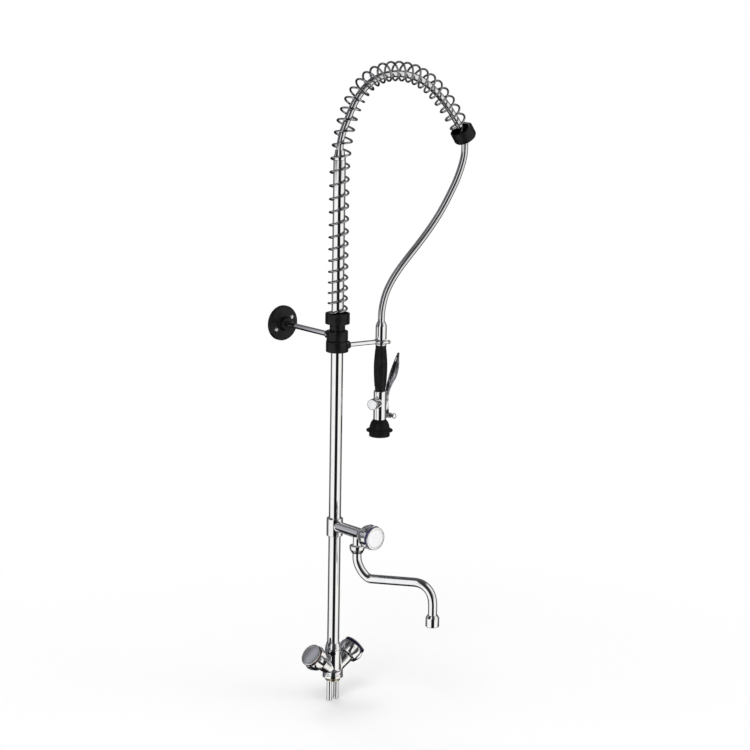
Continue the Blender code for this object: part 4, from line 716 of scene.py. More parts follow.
@dataclass(frozen=True)
class Finish:
    """A finish: its two shades, its gloss, and the effect that moves between them; for the braided hose the
    second shade is painted shade.
    """

    name: str
    slot: str
    effect: Effect
    colour: tuple[float, float, float]
    marks_and_shade: tuple[float, float, float]
    roughness: float
    spread: float
    scale: float
    bump: float
    metallic: float = 0.0
    coat: float = 0.0
    specular: float = 0.5
    own_map: bool = False

    def material(self) -> bpy.types.Material:
        """The material of this finish, built the first time it is asked for.

        Returns:
            The material.
        """
        found = bpy.data.materials.get("finish_" + self.name)
        if found:
            return found
        material = bpy.data.materials.new("finish_" + self.name)
        wires = Wiring.blank(material)
        place = wires.put("ShaderNodeTexCoord").outputs["UV" if self.own_map else "Object"]
        group = wires.put("ShaderNodeGroup", node_tree=self.effect.group())
        wires.tree.links.new(place, group.inputs["Where"])
        group.inputs["Scale"].default_value = self.scale
        colour = wires.colours(group.outputs["Tint"], (*self.colour, 1.0), (*self.marks_and_shade, 1.0))
        gloss = wires.between(group.outputs["Sheen"], 0.0, 1.0, self.roughness, self.roughness + self.spread)
        relief = wires.put("ShaderNodeBump", {"Height": group.outputs["Height"], "Strength": 1.0,
                                              "Distance": self.bump}).outputs["Normal"]
        shader = wires.put("ShaderNodeBsdfPrincipled", {
            "Base Color": colour, "Roughness": gloss, "Metallic": self.metallic, "Normal": relief,
            "Coat Weight": self.coat, "Coat Roughness": 0.06, "Specular IOR Level": self.specular})
        wires.put("ShaderNodeOutputMaterial", {"Surface": shader.outputs[0]})
        return material

    def dress(self, item: bpy.types.Object) -> None:
        """Give a piece this finish.

        Args:
            item: The piece.
        """
        item.data.materials.clear()
        item.data.materials.append(self.material())


class Finishes:
    """The finishes of the faucet."""

    CHROME = Finish("polished_chrome", "chrome", Effect.POLISH, (0.93, 0.93, 0.94), (0.86, 0.87, 0.89),
                    0.030, 0.045, 55.0, 0.0000012, metallic=1.0)
    # painted shade: a darker copy of the chrome, so that the spring's thin wire renders dark
    SHADED_SPRING_CHROME = Finish("spring_chrome_painted_shade", "chrome", Effect.POLISH, (0.50, 0.50, 0.52), (0.36, 0.36, 0.38),
                  0.04, 0.06, 120.0, 0.000002, metallic=1.0)
    BRASS = Finish("turned_brass", "brass", Effect.POLISH, (0.86, 0.79, 0.63), (0.70, 0.61, 0.44),
                   0.20, 0.18, 160.0, 0.00002, metallic=1.0)
    STEEL = Finish("stainless_steel", "steel", Effect.POLISH, (0.72, 0.72, 0.72), (0.58, 0.58, 0.59),
                   0.20, 0.14, 240.0, 0.00001, metallic=1.0)
    BLACK = Finish("black_moulding", "black_plastic", Effect.MOULD, (0.004, 0.004, 0.0045),
                   (0.010, 0.010, 0.011), 0.20, 0.12, 75.0, 0.00003, specular=0.20)
    GRIP = Finish("black_grip", "black_plastic", Effect.MOULD, (0.004, 0.004, 0.0045), (0.011, 0.011, 0.012),
                  0.26, 0.14, 110.0, 0.00004, specular=0.18)
    RUBBER = Finish("black_rubber", "black_rubber", Effect.RUBBER, (0.004, 0.004, 0.004),
                    (0.016, 0.016, 0.0165), 0.42, 0.24, 90.0, 0.00005, specular=0.18)
    WHITE = Finish("white_cap", "white_plastic", Effect.MOULD, (0.88, 0.88, 0.90), (0.84, 0.85, 0.87),
                   0.14, 0.08, 45.0, 0.000001, coat=0.6)
    SILVERED = Finish("silvered_cap", "white_plastic", Effect.MOULD, (0.93, 0.93, 0.95), (0.88, 0.88, 0.91),
                      0.22, 0.06, 45.0, 0.000001, metallic=1.0, coat=0.3)
    NAVY = Finish("navy_ring", "blue_plastic", Effect.MOULD, (0.008, 0.011, 0.085), (0.012, 0.016, 0.11),
                  0.26, 0.10, 75.0, 0.00002, coat=0.3)
    # painted shade: a darker copy of the navy ring plastic, without its coat, used for the cold tap's ring
    SHADED_NAVY = Finish("navy_ring_painted_shade", "blue_plastic", Effect.MOULD, (0.004, 0.005, 0.020),
                      (0.006, 0.008, 0.032), 0.26, 0.10, 75.0, 0.00002, specular=0.3)
    RED = Finish("red_ring", "red_plastic", Effect.MOULD, (0.022, 0.004, 0.004), (0.034, 0.006, 0.005),
                 0.26, 0.10, 75.0, 0.00002, coat=0.3)
    # The braid's second colour is painted shade, laid on the strands' sides and in the gaps.
    BRAID = Finish("braided_hose", "hose_grey", Effect.WEAVE, (0.80, 0.80, 0.82), (0.58, 0.58, 0.60),
                   0.09, 0.10, 480.0, 0.000008, metallic=1.0, own_map=True)


# -------------------------------- studio
@dataclass
class Studio:
    """The camera at the photograph's angle, the pale floor, the lamps and the room."""

    azimuth: float = -40.5
    elevation: float = 11.85
    roll: float = -0.944
    distance: float = 5.0
    lens: float = 129.48
    target: tuple[float, float, float] = (0.0539, -0.0460, 0.5850)
    floor_height: float = -0.0455
    floor_size: float = 9.0
    room_level: float = 0.72
    ring: tuple = (
        (-180, (0.75, 0.75, 0.76)), (-128, (0.50, 0.51, 0.54)), (-104, (0.50, 0.52, 0.56)),
        (-94, (0.78, 0.79, 0.81)), (-84, (1.0, 0.98, 0.94)), (-24, (1.0, 1.0, 1.0)),
        (-17, (0.010, 0.010, 0.011)), (29, (0.010, 0.010, 0.011)), (36, (1.0, 1.0, 0.99)),
        (70, (1.0, 0.98, 0.94)), (92, (0.90, 0.87, 0.82)), (104, (0.62, 0.62, 0.63)),
        (128, (0.50, 0.50, 0.52)), (180, (0.75, 0.75, 0.76)))
    upper: tuple = (
        (-180, (0.50, 0.50, 0.51)), (-125, (0.42, 0.42, 0.45)), (-93, (0.40, 0.40, 0.44)),
        (-86, (0.020, 0.020, 0.022)), (-43, (0.020, 0.020, 0.022)), (-36, (0.97, 0.97, 0.97)),
        (-18, (0.97, 0.97, 0.97)), (-11, (0.030, 0.030, 0.032)), (26, (0.030, 0.030, 0.032)),
        (46, (0.30, 0.30, 0.31)), (60, (0.92, 0.91, 0.89)), (104, (0.92, 0.90, 0.87)),
        (134, (0.55, 0.55, 0.56)), (180, (0.50, 0.50, 0.51)))
    ring_ends: tuple[float, float] = (-8.0, 3.0)
    upper_ends: tuple[float, float] = (46.0, 58.0)
    roof: tuple[float, float, float] = (0.06, 0.06, 0.063)
    pit: tuple[float, float, float] = (0.015, 0.015, 0.016)
    curtain: tuple[float, float, float] = (0.13, 0.13, 0.135)
    curtain_foot: tuple[float, float, float] = (0.012, 0.012, 0.013)
    lamp_target: tuple[float, float, float] = (0.05, 0.0, 0.5)
    floor_fade: tuple[float, float] = (0.25, 1.1)

    def camera(self) -> None:
        """Put up the camera."""
        turn, lift, lean = map(math.radians, (self.azimuth, self.elevation, self.roll))
        back = Vector((math.sin(turn) * math.cos(lift), -math.cos(turn) * math.cos(lift), math.sin(lift)))
        right = Vector((math.cos(turn), math.sin(turn), 0.0))
        up = back.cross(right)
        across = right * math.cos(lean) - up * math.sin(lean)
        upward = right * math.sin(lean) + up * math.cos(lean)
        data = bpy.data.cameras.new("photo_camera")
        data.lens = self.lens
        data.sensor_width = 36.0
        data.clip_end = 100.0
        item = in_scene("photo_camera", data)
        place = Matrix((across, upward, back)).transposed().to_4x4()
        place.translation = Vector(self.target) + back * self.distance
        item.matrix_world = place
        bpy.context.scene.camera = item
        bpy.context.scene.view_settings.view_transform = "Standard"

    @staticmethod
    def strip(wires: Wiring, share: bpy.types.NodeSocket,
              colours: Sequence[tuple]) -> bpy.types.NodeSocket:
        """One band of panels round the faucet.

        Args:
            wires: The tree to add to.
            share: The bearing, from 0 to 1.
            colours: Bearings from the camera in degrees, each with its colour.

        Returns:
            The band's colour.
        """
        ramp = wires.put("ShaderNodeValToRGB", {0: share})
        stops = ramp.color_ramp.elements
        for i, (degrees, colour) in enumerate(colours):
            spot = (degrees + 180) / 360
            stop = stops[i] if i < 1 else (stops[-1] if i == len(colours) - 1 else stops.new(spot))
            stop.position = spot
            stop.color = (*colour, 1.0)
        return ramp.outputs[0]

    def room(self) -> None:
        """Make the world: white to the camera, a ring of pale and dark panels to polished metal."""
        world = bpy.data.worlds.new("light_tent")
        wires = Wiring.blank(world)
        way = wires.put("ShaderNodeTexCoord").outputs["Generated"]
        spun = wires.put("ShaderNodeMapping", {
            "Vector": way, "Rotation": (0.0, 0.0, math.radians(-self.azimuth))}).outputs[0]
        parts = wires.put("ShaderNodeSeparateXYZ", {0: spun}).outputs
        bearing = wires.sum("ARCTAN2", parts[0], wires.sum("MULTIPLY", parts[1], -1.0))
        share = wires.between(bearing, -math.pi, math.pi)
        lower, higher = self.strip(wires, share, self.ring), self.strip(wires, share, self.upper)
        low, high = [math.sin(math.radians(degrees)) for degrees in self.ring_ends]
        round_about = wires.colours(wires.between(parts[2], low, high), lower, higher)
        low, high = [math.sin(math.radians(degrees)) for degrees in self.upper_ends]
        above = wires.between(parts[2], low, high)
        below = wires.between(parts[2], -0.77, -0.95)
        lift = math.radians(self.elevation)
        facing = wires.put("ShaderNodeVectorMath", {0: spun, 1: (0.0, -math.cos(lift), math.sin(lift))},
                           operation="DOT_PRODUCT").outputs["Value"]
        behind = wires.between(facing, -0.26, -0.12, 1.0, 0.0)
        foot = wires.between(parts[2], -0.25, -0.40)
        walls = wires.colours(above, round_about, (*self.roof, 1.0))
        sides = wires.colours(below, walls, (*self.pit, 1.0))
        curtain = wires.colours(foot, (*self.curtain, 1.0), (*self.curtain_foot, 1.0))
        panels = wires.colours(behind, sides, curtain)
        path = wires.put("ShaderNodeLightPath").outputs
        even = (self.room_level,) * 3 + (1.0,)
        sharp = wires.sum("MAXIMUM", path["Is Glossy Ray"], path["Is Transmission Ray"])
        seen = wires.colours(sharp, even, panels)
        shown = wires.colours(path["Is Camera Ray"], seen, (1.0, 1.0, 1.0, 1.0))
        light = wires.put("ShaderNodeBackground", {"Color": shown, "Strength": 1.0})
        wires.put("ShaderNodeOutputWorld", {"Surface": light.outputs[0]})
        bpy.context.scene.world = world

    def lamps(self) -> None:
        """Hang three soft lamps, which polished metal doesn't show."""
        for name, spot, size, power in (("key", (-1.9, -1.4, 2.6), 1.6, 30.0),
                                        ("fill", (1.5, -2.6, 1.5), 2.0, 14.0),
                                        ("back", (0.8, 1.9, 2.2), 1.6, 14.0)):
            data = bpy.data.lights.new(name + "_lamp", "AREA")
            data.shape = "DISK"
            data.size = size
            data.energy = power
            item = in_scene(name + "_lamp", data)
            item.location = spot
            aim = Vector(self.lamp_target) - Vector(spot)
            item.rotation_mode = "QUATERNION"
            item.rotation_quaternion = aim.to_track_quat("-Z", "Y")
            item.visible_glossy = False

    def floor(self) -> None:
        """Lay the pale floor, which keeps the shadow and fades to white away from it."""
        half = self.floor_size / 2
        mesh = bpy.data.meshes.new("floor")
        mesh.from_pydata([(-half, -half, 0), (half, -half, 0), (half, half, 0), (-half, half, 0)], [],
                         [(0, 1, 2, 3)])
        mesh.transform(moved(0, 0, self.floor_height))
        item = in_scene("floor", mesh)
        item.visible_glossy = False
        material = bpy.data.materials.new("pale_floor")
        wires = Wiring.blank(material)
        place = wires.put("ShaderNodeTexCoord").outputs["Object"]
        flat = wires.put("ShaderNodeVectorMath", {0: place, 1: (1.0, 1.0, 0.0)}, operation="MULTIPLY")
        far = wires.put("ShaderNodeVectorMath", {0: flat.outputs[0]}, operation="LENGTH").outputs["Value"]
        fade = wires.between(far, *self.floor_fade)
        speck = wires.between(wires.noise(place, 240.0, 3.0), 0.3, 0.7, 0.0, 1.0)
        colour = wires.colours(speck, (0.97, 0.97, 0.97, 1.0), (0.95, 0.95, 0.95, 1.0))
        shader = wires.put("ShaderNodeBsdfDiffuse", {"Color": colour})
        glow = wires.put("ShaderNodeEmission", {"Color": (1.0, 1.0, 1.0, 1.0), "Strength": 1.0})
        seen = wires.put("ShaderNodeLightPath").outputs["Is Camera Ray"]
        share = wires.sum("MULTIPLY", fade, seen)
        both = wires.put("ShaderNodeMixShader", {0: share, 1: shader.outputs[0], 2: glow.outputs[0]})
        wires.put("ShaderNodeOutputMaterial", {"Surface": both.outputs[0]})
        mesh.materials.append(material)

    def set_up(self) -> None:
        """Put up everything round the faucet."""
        self.camera()
        self.room()
        self.lamps()
        self.floor()


# -------------------------------- repeats and wound wire
class Pattern(Enum):
    """What the Geometry Nodes trees make."""

    ROUND = "round_repeat"
    COIL = "wound_wire"

    def tree(self) -> bpy.types.NodeTree:
        """The tree of this pattern, built the first time it is asked for.

        Returns:
            The tree.
        """
        found = bpy.data.node_groups.get(self.value)
        if found:
            return found
        tree = bpy.data.node_groups.new(self.value, "GeometryNodeTree")
        face = tree.interface
        face.new_socket("Geometry", in_out="INPUT", socket_type="NodeSocketGeometry")
        kinds = {Pattern.ROUND: (("Count", "Int"), ("Reach", "Float"), ("Start", "Float")),
                 Pattern.COIL: (("Coil Radius", "Float"), ("Wire Radius", "Float"), ("Sides", "Int"))}
        for name, kind in kinds[self]:
            face.new_socket(name, in_out="INPUT", socket_type="NodeSocket" + kind)
        face.new_socket("Finish", in_out="INPUT", socket_type="NodeSocketMaterial")
        face.new_socket("Geometry", in_out="OUTPUT", socket_type="NodeSocketGeometry")
        wires = Wiring(tree)
        start = wires.put("NodeGroupInput").outputs
        rule = self._round if self is Pattern.ROUND else self._coil
        real = wires.put("GeometryNodeRealizeInstances", {0: rule(wires, start)})
        dressed = wires.put("GeometryNodeSetMaterial", {
            "Geometry": real.outputs[0], "Material": start["Finish"]})
        wires.put("NodeGroupOutput", {0: dressed.outputs[0]})
        return tree

    @staticmethod
    def _round(wires: Wiring, start: bpy.types.bpy_prop_collection) -> bpy.types.NodeSocket:
        """One shape set out on a circle about Z, each copy turned with its place.

        Args:
            wires: The tree to add to.
            start: What comes in.

        Returns:
            The geometry.
        """
        offset = wires.put("ShaderNodeCombineXYZ", {0: start["Reach"]}).outputs[0]
        shape = wires.put("GeometryNodeTransform", {"Geometry": start["Geometry"], "Translation": offset})
        spots = wires.put("GeometryNodePoints", {"Count": start["Count"]})
        index = wires.put("GeometryNodeInputIndex").outputs[0]
        step = wires.sum("DIVIDE", 2 * math.pi, start["Count"])
        angle = wires.sum("ADD", wires.sum("MULTIPLY", index, step), start["Start"])
        euler = wires.put("ShaderNodeCombineXYZ", {2: angle}).outputs[0]
        turn = wires.put("FunctionNodeEulerToRotation", {0: euler}).outputs[0]
        copies = wires.put("GeometryNodeInstanceOnPoints", {
            "Points": spots.outputs[0], "Instance": shape.outputs[0], "Rotation": turn})
        return copies.outputs[0]

    @staticmethod
    def _coil(wires: Wiring, start: bpy.types.bpy_prop_collection) -> bpy.types.NodeSocket:
        """A wire wound round the carrier's line, by its turn, side and across attributes.

        Args:
            wires: The tree to add to.
            start: What comes in.

        Returns:
            The geometry.
        """
        def stored(name: str, kind: str) -> bpy.types.NodeSocket:
            """An attribute of the carrier."""
            node = wires.put("GeometryNodeInputNamedAttribute", {"Name": name}, data_type=kind)
            return node.outputs["Attribute"]
        turn = stored("turn", "FLOAT")
        parts = []
        for name, rule in (("side", "COSINE"), ("across", "SINE")):
            size = wires.sum("MULTIPLY", wires.sum(rule, turn), start["Coil Radius"])
            parts.append(wires.put("ShaderNodeVectorMath", {
                0: stored(name, "FLOAT_VECTOR"), "Scale": size}, operation="SCALE").outputs[0])
        offset = wires.put("ShaderNodeVectorMath", {0: parts[0], 1: parts[1]}, operation="ADD").outputs[0]
        wound = wires.put("GeometryNodeSetPosition", {"Geometry": start["Geometry"], "Offset": offset})
        line = wires.put("GeometryNodeMeshToCurve", {0: wound.outputs[0]})
        circle = wires.put("GeometryNodeCurvePrimitiveCircle", {
            "Resolution": start["Sides"], "Radius": start["Wire Radius"]})
        wire = wires.put("GeometryNodeCurveToMesh", {
            "Curve": line.outputs[0], "Profile Curve": circle.outputs[0], "Fill Caps": True})
        return wire.outputs[0]

    def grown(self, item: bpy.types.Object, finish: Finish, place: Matrix = COLUMN,
              **sizes: float) -> bpy.types.Object:
        """Run the tree on a carrier and keep the result as a plain mesh.

        Args:
            item: The carrier, in its own frame.
            finish: What the result is made of.
            place: Where that frame lies in the object's frame.
            sizes: A value for each named input, its spaces as underscores.

        Returns:
            The finished piece.
        """
        tree = self.tree()
        grow = item.modifiers.new("Grow", "NODES")
        grow.node_group = tree
        values = {name.replace("_", " ").title(): value for name, value in sizes.items()}
        values["Finish"] = finish.material()
        for socket in tree.interface.items_tree:
            if socket.item_type == "SOCKET" and socket.in_out == "INPUT" and socket.name in values:
                grow[socket.identifier] = values[socket.name]
        item.data.update()
        done = settled(item)
        done.data.transform(place)
        return done


def fitted(item: bpy.types.Object, body: str, finish: Finish, *stands_for: str) -> bpy.types.Object:
    """Finish a piece, put it on its body, and hide the solids that it stands for.

    Args:
        item: The piece, in place.
        body: The body that it rides on.
        finish: Its finish.
        stands_for: The solids that it replaces.

    Returns:
        The piece.
    """
    finish.dress(item)
    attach(item, body)
    if stands_for:
        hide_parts(*stands_for)
    LOG.info("%s: %d faces on %s", item.name, len(item.data.polygons), body)
    return item


# -------------------------------- the gantry's line
@dataclass
class Arch:
    """The line that the spring and the hose inside it follow, in the gantry's plane."""

    start: float = 0.940
    apex: tuple[float, float] = (0.1132, 1.1423)
    cap_top: tuple[float, float] = (0.2628, 1.0288)
    cap_lean: float = 32.0
    handles: tuple[float, float, float, float] = (0.130, 0.075, 0.070, 0.085)
    inset: float = 0.0094
    spring_bottom: float = 0.6923
    hose_radius: float = 0.0065
    hose_drop: float = 0.005
    hose_start: float = 0.9953
    hose_exit: tuple[float, float] = (0.2721, 1.0000)
    hose_end: float = 0.003
    ferrule_top: float = 0.676
    ferrule_socket: float = 0.012
    free_shares: tuple = ((0.9949, 0.9383), (0.9678, 0.8796), (0.9068, 0.7963), (0.8176, 0.7068),
                          (0.7115, 0.6142), (0.5855, 0.5247), (0.4433, 0.4367), (0.2925, 0.3503),
                          (0.1553, 0.2623), (0.0593, 0.1759), (0.0124, 0.0926), (0.0, 0.0247))

    @property
    def cap_along(self) -> tuple[float, float]:
        """The way that the end cap points."""
        lean = math.radians(self.cap_lean)
        return math.sin(lean), -math.cos(lean)

    def line(self) -> list[tuple[float, float]]:
        """The middle of the spring.

        Returns:
            Dense points, from its foot to its end in the cap.
        """
        up, before, after, down = self.handles
        way = self.cap_along
        end = tuple(p + self.inset * d for p, d in zip(self.cap_top, way))
        low = (0.0, self.start)
        left = (low, (0.0, self.start + up), (self.apex[0] - before, self.apex[1]), self.apex)
        right = (self.apex, (self.apex[0] + after, self.apex[1]),
                 (end[0] - down * way[0], end[1] - down * way[1]), end)
        steps = 120
        rise = self.start - self.spring_bottom
        points = [(0.0, self.spring_bottom + rise * i / steps) for i in range(steps)]
        points += [bezier_point(*left, i / steps) for i in range(steps)]
        points += [bezier_point(*right, i / steps) for i in range(steps + 1)]
        return points

    def hose_inside(self) -> list[tuple[float, float]]:
        """The middle of the hose inside the spring.

        Returns:
            Even points from the riser's top, through the arch and the cap, to its exit.
        """
        line = self.line()
        lengths = lengths_along(line)
        first = next(i for i, p in enumerate(line) if p[1] >= self.hose_start)
        leave = lengths[-1] - 0.022
        points = []
        steps = 28
        for i in range(steps + 1):
            share = i / steps
            distance = lengths[first] + (leave - lengths[first]) * share
            middle = point_at(line, lengths, distance)
            ahead = point_at(line, lengths, distance + 0.002)
            size = math.dist(ahead, middle)
            along = ((ahead[0] - middle[0]) / size, (ahead[1] - middle[1]) / size)
            drop = self.hose_drop * math.sin(math.pi * share) ** 2
            points.append((middle[0] * smooth_step(share / 0.18) + drop * along[1],
                           middle[1] - drop * along[0]))
        points[0] = (0.0, self.hose_start)
        near = points[-1]
        straight = (self.hose_exit[0], self.hose_exit[1] + self.hose_end)
        handle = tuple(p + 0.018 * d for p, d in zip(near, self.cap_along))
        bend = [bezier_point(near, handle, (straight[0], straight[1] + 0.014), straight, k / 6)
                for k in range(1, 7)]
        coarse = [*even_points(points + bend, 2.6 * self.hose_radius), self.hose_exit]
        return smooth_route(coarse, 0.003)

    def free_hose(self) -> list[tuple[float, float]]:
        """The middle of the free hose.

        Returns:
            Even points from the cap's hole into the handset's ferrule.
        """
        start = (self.hose_exit[0], self.hose_exit[1] - GAP)
        end = (HANDSET_REACH, self.ferrule_top - self.ferrule_socket + GAP)
        out, up = self.hose_exit[0] - HANDSET_REACH, self.hose_exit[1] - self.ferrule_top
        middle = [(HANDSET_REACH + a * out, self.ferrule_top + b * up) for a, b in self.free_shares]
        route = [(start[0], start[1] - self.hose_end), *middle, (end[0], end[1] + self.hose_end)]
        coarse = [start, *smooth_route(route, 2.6 * self.hose_radius), end]
        return smooth_route(coarse, 0.003)

    @staticmethod
    def placed(points: Sequence[tuple[float, float]]) -> list[Vector]:
        """Points of the gantry's plane, in the object's frame."""
        return [GANTRY @ Vector((x, 0.0, z)) for x, z in points]


def braided_tube(name: str, points: Sequence[Vector], radius: float, sides: int = 40) -> bpy.types.Object:
    """A hose with its own map: once round, and metres along.

    Args:
        name: The piece's name.
        points: Its middle line.
        radius: Its radius.
        sides: How many sides its section has.

    Returns:
        The closed tube.
    """
    lengths = lengths_along(points)
    across = Vector((0, 0, 1)).cross(points[-1] - points[0]).normalized()
    verts, faces, maps = [], [], []
    for i, point in enumerate(points):
        after, before = points[min(i + 1, len(points) - 1)], points[max(i - 1, 0)]
        along = (after - before).normalized()
        across = (across - along * across.dot(along)).normalized()
        third = along.cross(across)
        for k in range(sides):
            angle = 2 * math.pi * k / sides
            verts.append(point + (across * math.cos(angle) + third * math.sin(angle)) * radius)
    for i in range(len(points) - 1):
        for k in range(sides):
            n = (k + 1) % sides
            faces.append((i * sides + k, i * sides + n, (i + 1) * sides + n, (i + 1) * sides + k))
            maps += [(k / sides, lengths[i]), ((k + 1) / sides, lengths[i]),
                     ((k + 1) / sides, lengths[i + 1]), (k / sides, lengths[i + 1])]
    for ring, pole, flip in ((0, points[0], True), (len(points) - 1, points[-1], False)):
        verts.append(pole)
        for k in range(sides):
            n = (k + 1) % sides
            edge = (ring * sides + k, ring * sides + n)
            faces.append((*(edge[::-1] if flip else edge), len(verts) - 1))
            maps += [(k / sides, lengths[ring])] * 3
    mesh = bpy.data.meshes.new(name)
    mesh.from_pydata(verts, [], faces)
    layer = mesh.uv_layers.new(name="braid")
    for loop, spot in zip(layer.data, maps):
        loop.uv = spot
    return linked(name, mesh)


@dataclass
class FreeHose:
    """The hose that hangs from the end cap to the handset."""

    arch: Arch
    length: float = 0.3906

    def build(self) -> None:
        """Lay the hose and log its length."""
        line = self.arch.placed(self.arch.free_hose())
        item = braided_tube("free_hose", line, self.arch.hose_radius)
        Finishes.BRAID.dress(item)
        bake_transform(item)
        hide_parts("hose_free")
        LOG.info("free_hose: %.4f m", lengths_along(line)[-1])


@dataclass
class SpringGantry:
    """The spring on its seat, the hose inside it, and the end cap."""

    arch: Arch
    coil_radius: float = 0.017
    wire_radius: float = 0.002
    turns: int = 36
    steps: int = 30
    seat_radius: float = 0.0228
    neck_radius: float = 0.0145
    cup_radius: float = 0.020
    seat_bottom: float = 0.6683
    ring_bottom: float = 0.6810
    seat_floor: float = 0.690
    seat_top: float = 0.7010
    cap_radius: float = 0.022
    cap_length: float = 0.024
    cup_depth: float = 0.012

    @staticmethod
    def pitch(share: float) -> float:
        """How open the spring is.

        Args:
            share: How far along the spring, from 0 to 1.

        Returns:
            The pitch there, where 1 is the usual one.
        """
        keys = ((0.0, 1.00), (0.36, 1.32), (0.68, 0.84), (1.0, 1.12))
        for (a, low), (b, high) in zip(keys, keys[1:]):
            if share <= b:
                return low + (high - low) * smooth_step((share - a) / (b - a))
        return keys[-1][1]

    def spring(self) -> None:
        """Wind the wire round the arch."""
        line = self.arch.line()
        lengths = lengths_along(line)
        samples = 2000
        sums = [0.0]
        for i in range(samples):
            sums.append(sums[-1] + 1.0 / self.pitch((i + 0.5) / samples))
        scale = self.turns / sums[-1]
        points, sides, angles = [], [], []
        sample = 0
        for k in range(self.turns * self.steps + 1):
            wanted = k / self.steps / scale
            while sample < samples - 1 and sums[sample + 1] < wanted:
                sample += 1
            share = (sample + (wanted - sums[sample]) / (sums[sample + 1] - sums[sample])) / samples
            distance = share * lengths[-1]
            ahead = Vector(point_at(line, lengths, distance + 0.001))
            behind = Vector(point_at(line, lengths, distance - 0.001))
            along = (ahead - behind).normalized()
            points.append(point_at(line, lengths, distance))
            sides.append((along.y, 0.0, -along.x))
            angles.append(2 * math.pi * k / self.steps)
        item = wound_line("spring_coil", [(x, 0.0, z) for x, z in points], angles, sides, (0.0, 1.0, 0.0))
        item = Pattern.COIL.grown(item, Finishes.SHADED_SPRING_CHROME, GANTRY, coil_radius=self.coil_radius,
                                  wire_radius=self.wire_radius, sides=16)
        fitted(item, "gantry", Finishes.SHADED_SPRING_CHROME, "spring")

    def seat(self) -> None:
        """Turn the seat that holds the foot of the spring."""
        neck = self.neck_radius
        form = Form(GANTRY).turned([
            (self.seat_radius, self.seat_top), (self.seat_radius, self.ring_bottom),
            (neck + 0.0012, self.ring_bottom - 0.0003), (neck, self.ring_bottom - 0.0022),
            (neck, self.seat_bottom), (RISER_BORE, self.seat_bottom), (RISER_BORE, self.seat_floor),
            (self.cup_radius, self.seat_floor), (self.cup_radius, self.seat_top)], closed=True, ease=0.0010)
        fitted(form.made("spring_seat_turned"), "gantry", Finishes.BLACK, "spring_seat")

    def cap(self) -> None:
        """Turn the end cap, with its cup above and the hose's hole below."""
        radius, length = self.cap_radius, self.cap_length
        lean = Matrix.Rotation(math.radians(-self.arch.cap_lean), 4, "Y")
        place = GANTRY @ moved(self.arch.cap_top[0], 0, self.arch.cap_top[1]) @ lean
        form = Form(place).turned([
            (0, -self.cup_depth), (self.cup_radius, -self.cup_depth), (self.cup_radius, 0),
            (radius, 0), (radius, -length + 0.0045), (radius - 0.0035, -length), (0, -length)], ease=0.0016)
        inside = self.arch.hose_inside()
        beyond = (self.arch.hose_exit[0], self.arch.hose_exit[1] - 0.012)
        hole = Form().swept(self.arch.placed([*inside[-34::3], inside[-1], beyond]),
                            self.arch.hose_radius + 0.0006)
        fitted(bored(form.made("spring_cap_turned"), hole), "gantry", Finishes.BLACK, "spring_end_cap")

    def hose(self) -> None:
        """Lay the hose inside the spring, with its union on the riser."""
        line = self.arch.placed(self.arch.hose_inside())
        item = braided_tube("hose_through_spring", line, self.arch.hose_radius)
        fitted(item, "gantry", Finishes.BRAID, "hose_in_spring")
        union = Form(GANTRY).turned([
            (0, 0.995), (0.0068, 0.995), (0.0068, 1.003), (0.0086, 1.003), (0.0095, 0.996),
            (0.0113, 0.990), (0.0113, 0.9853), (0.0097, 0.9853), (0.0097, 0.974), (0, 0.974)], ease=0.0005)
        fitted(union.made("hose_union_turned"), "gantry", Finishes.CHROME, "hose_union")

    def build(self) -> None:
        """Make the gantry's pieces."""
        self.spring()
        self.seat()
        self.cap()
        self.hose()


def wound_line(name: str, points: Route, angles: Sequence[float], sides: Route,
               across: tuple[float, float, float]) -> bpy.types.Object:
    """A line that says how a wire is wound round it.

    Args:
        name: The piece's name.
        points: The line.
        angles: The wire's turn at each point, in radians.
        sides: The first direction off the line at each point.
        across: The second direction, which is the same at every point.

    Returns:
        The line as an object, for the coil's tree.
    """
    mesh = bpy.data.meshes.new(name + "_line")
    mesh.from_pydata(points, [(i, i + 1) for i in range(len(points) - 1)], [])
    turn = mesh.attributes.new("turn", "FLOAT", "POINT")
    turn.data.foreach_set("value", angles)
    for label, ways in (("side", sides), ("across", [across] * len(points))):
        stored = mesh.attributes.new(label, "FLOAT_VECTOR", "POINT")
        stored.data.foreach_set("vector", [value for way in ways for value in way])
    return in_scene(name, mesh)


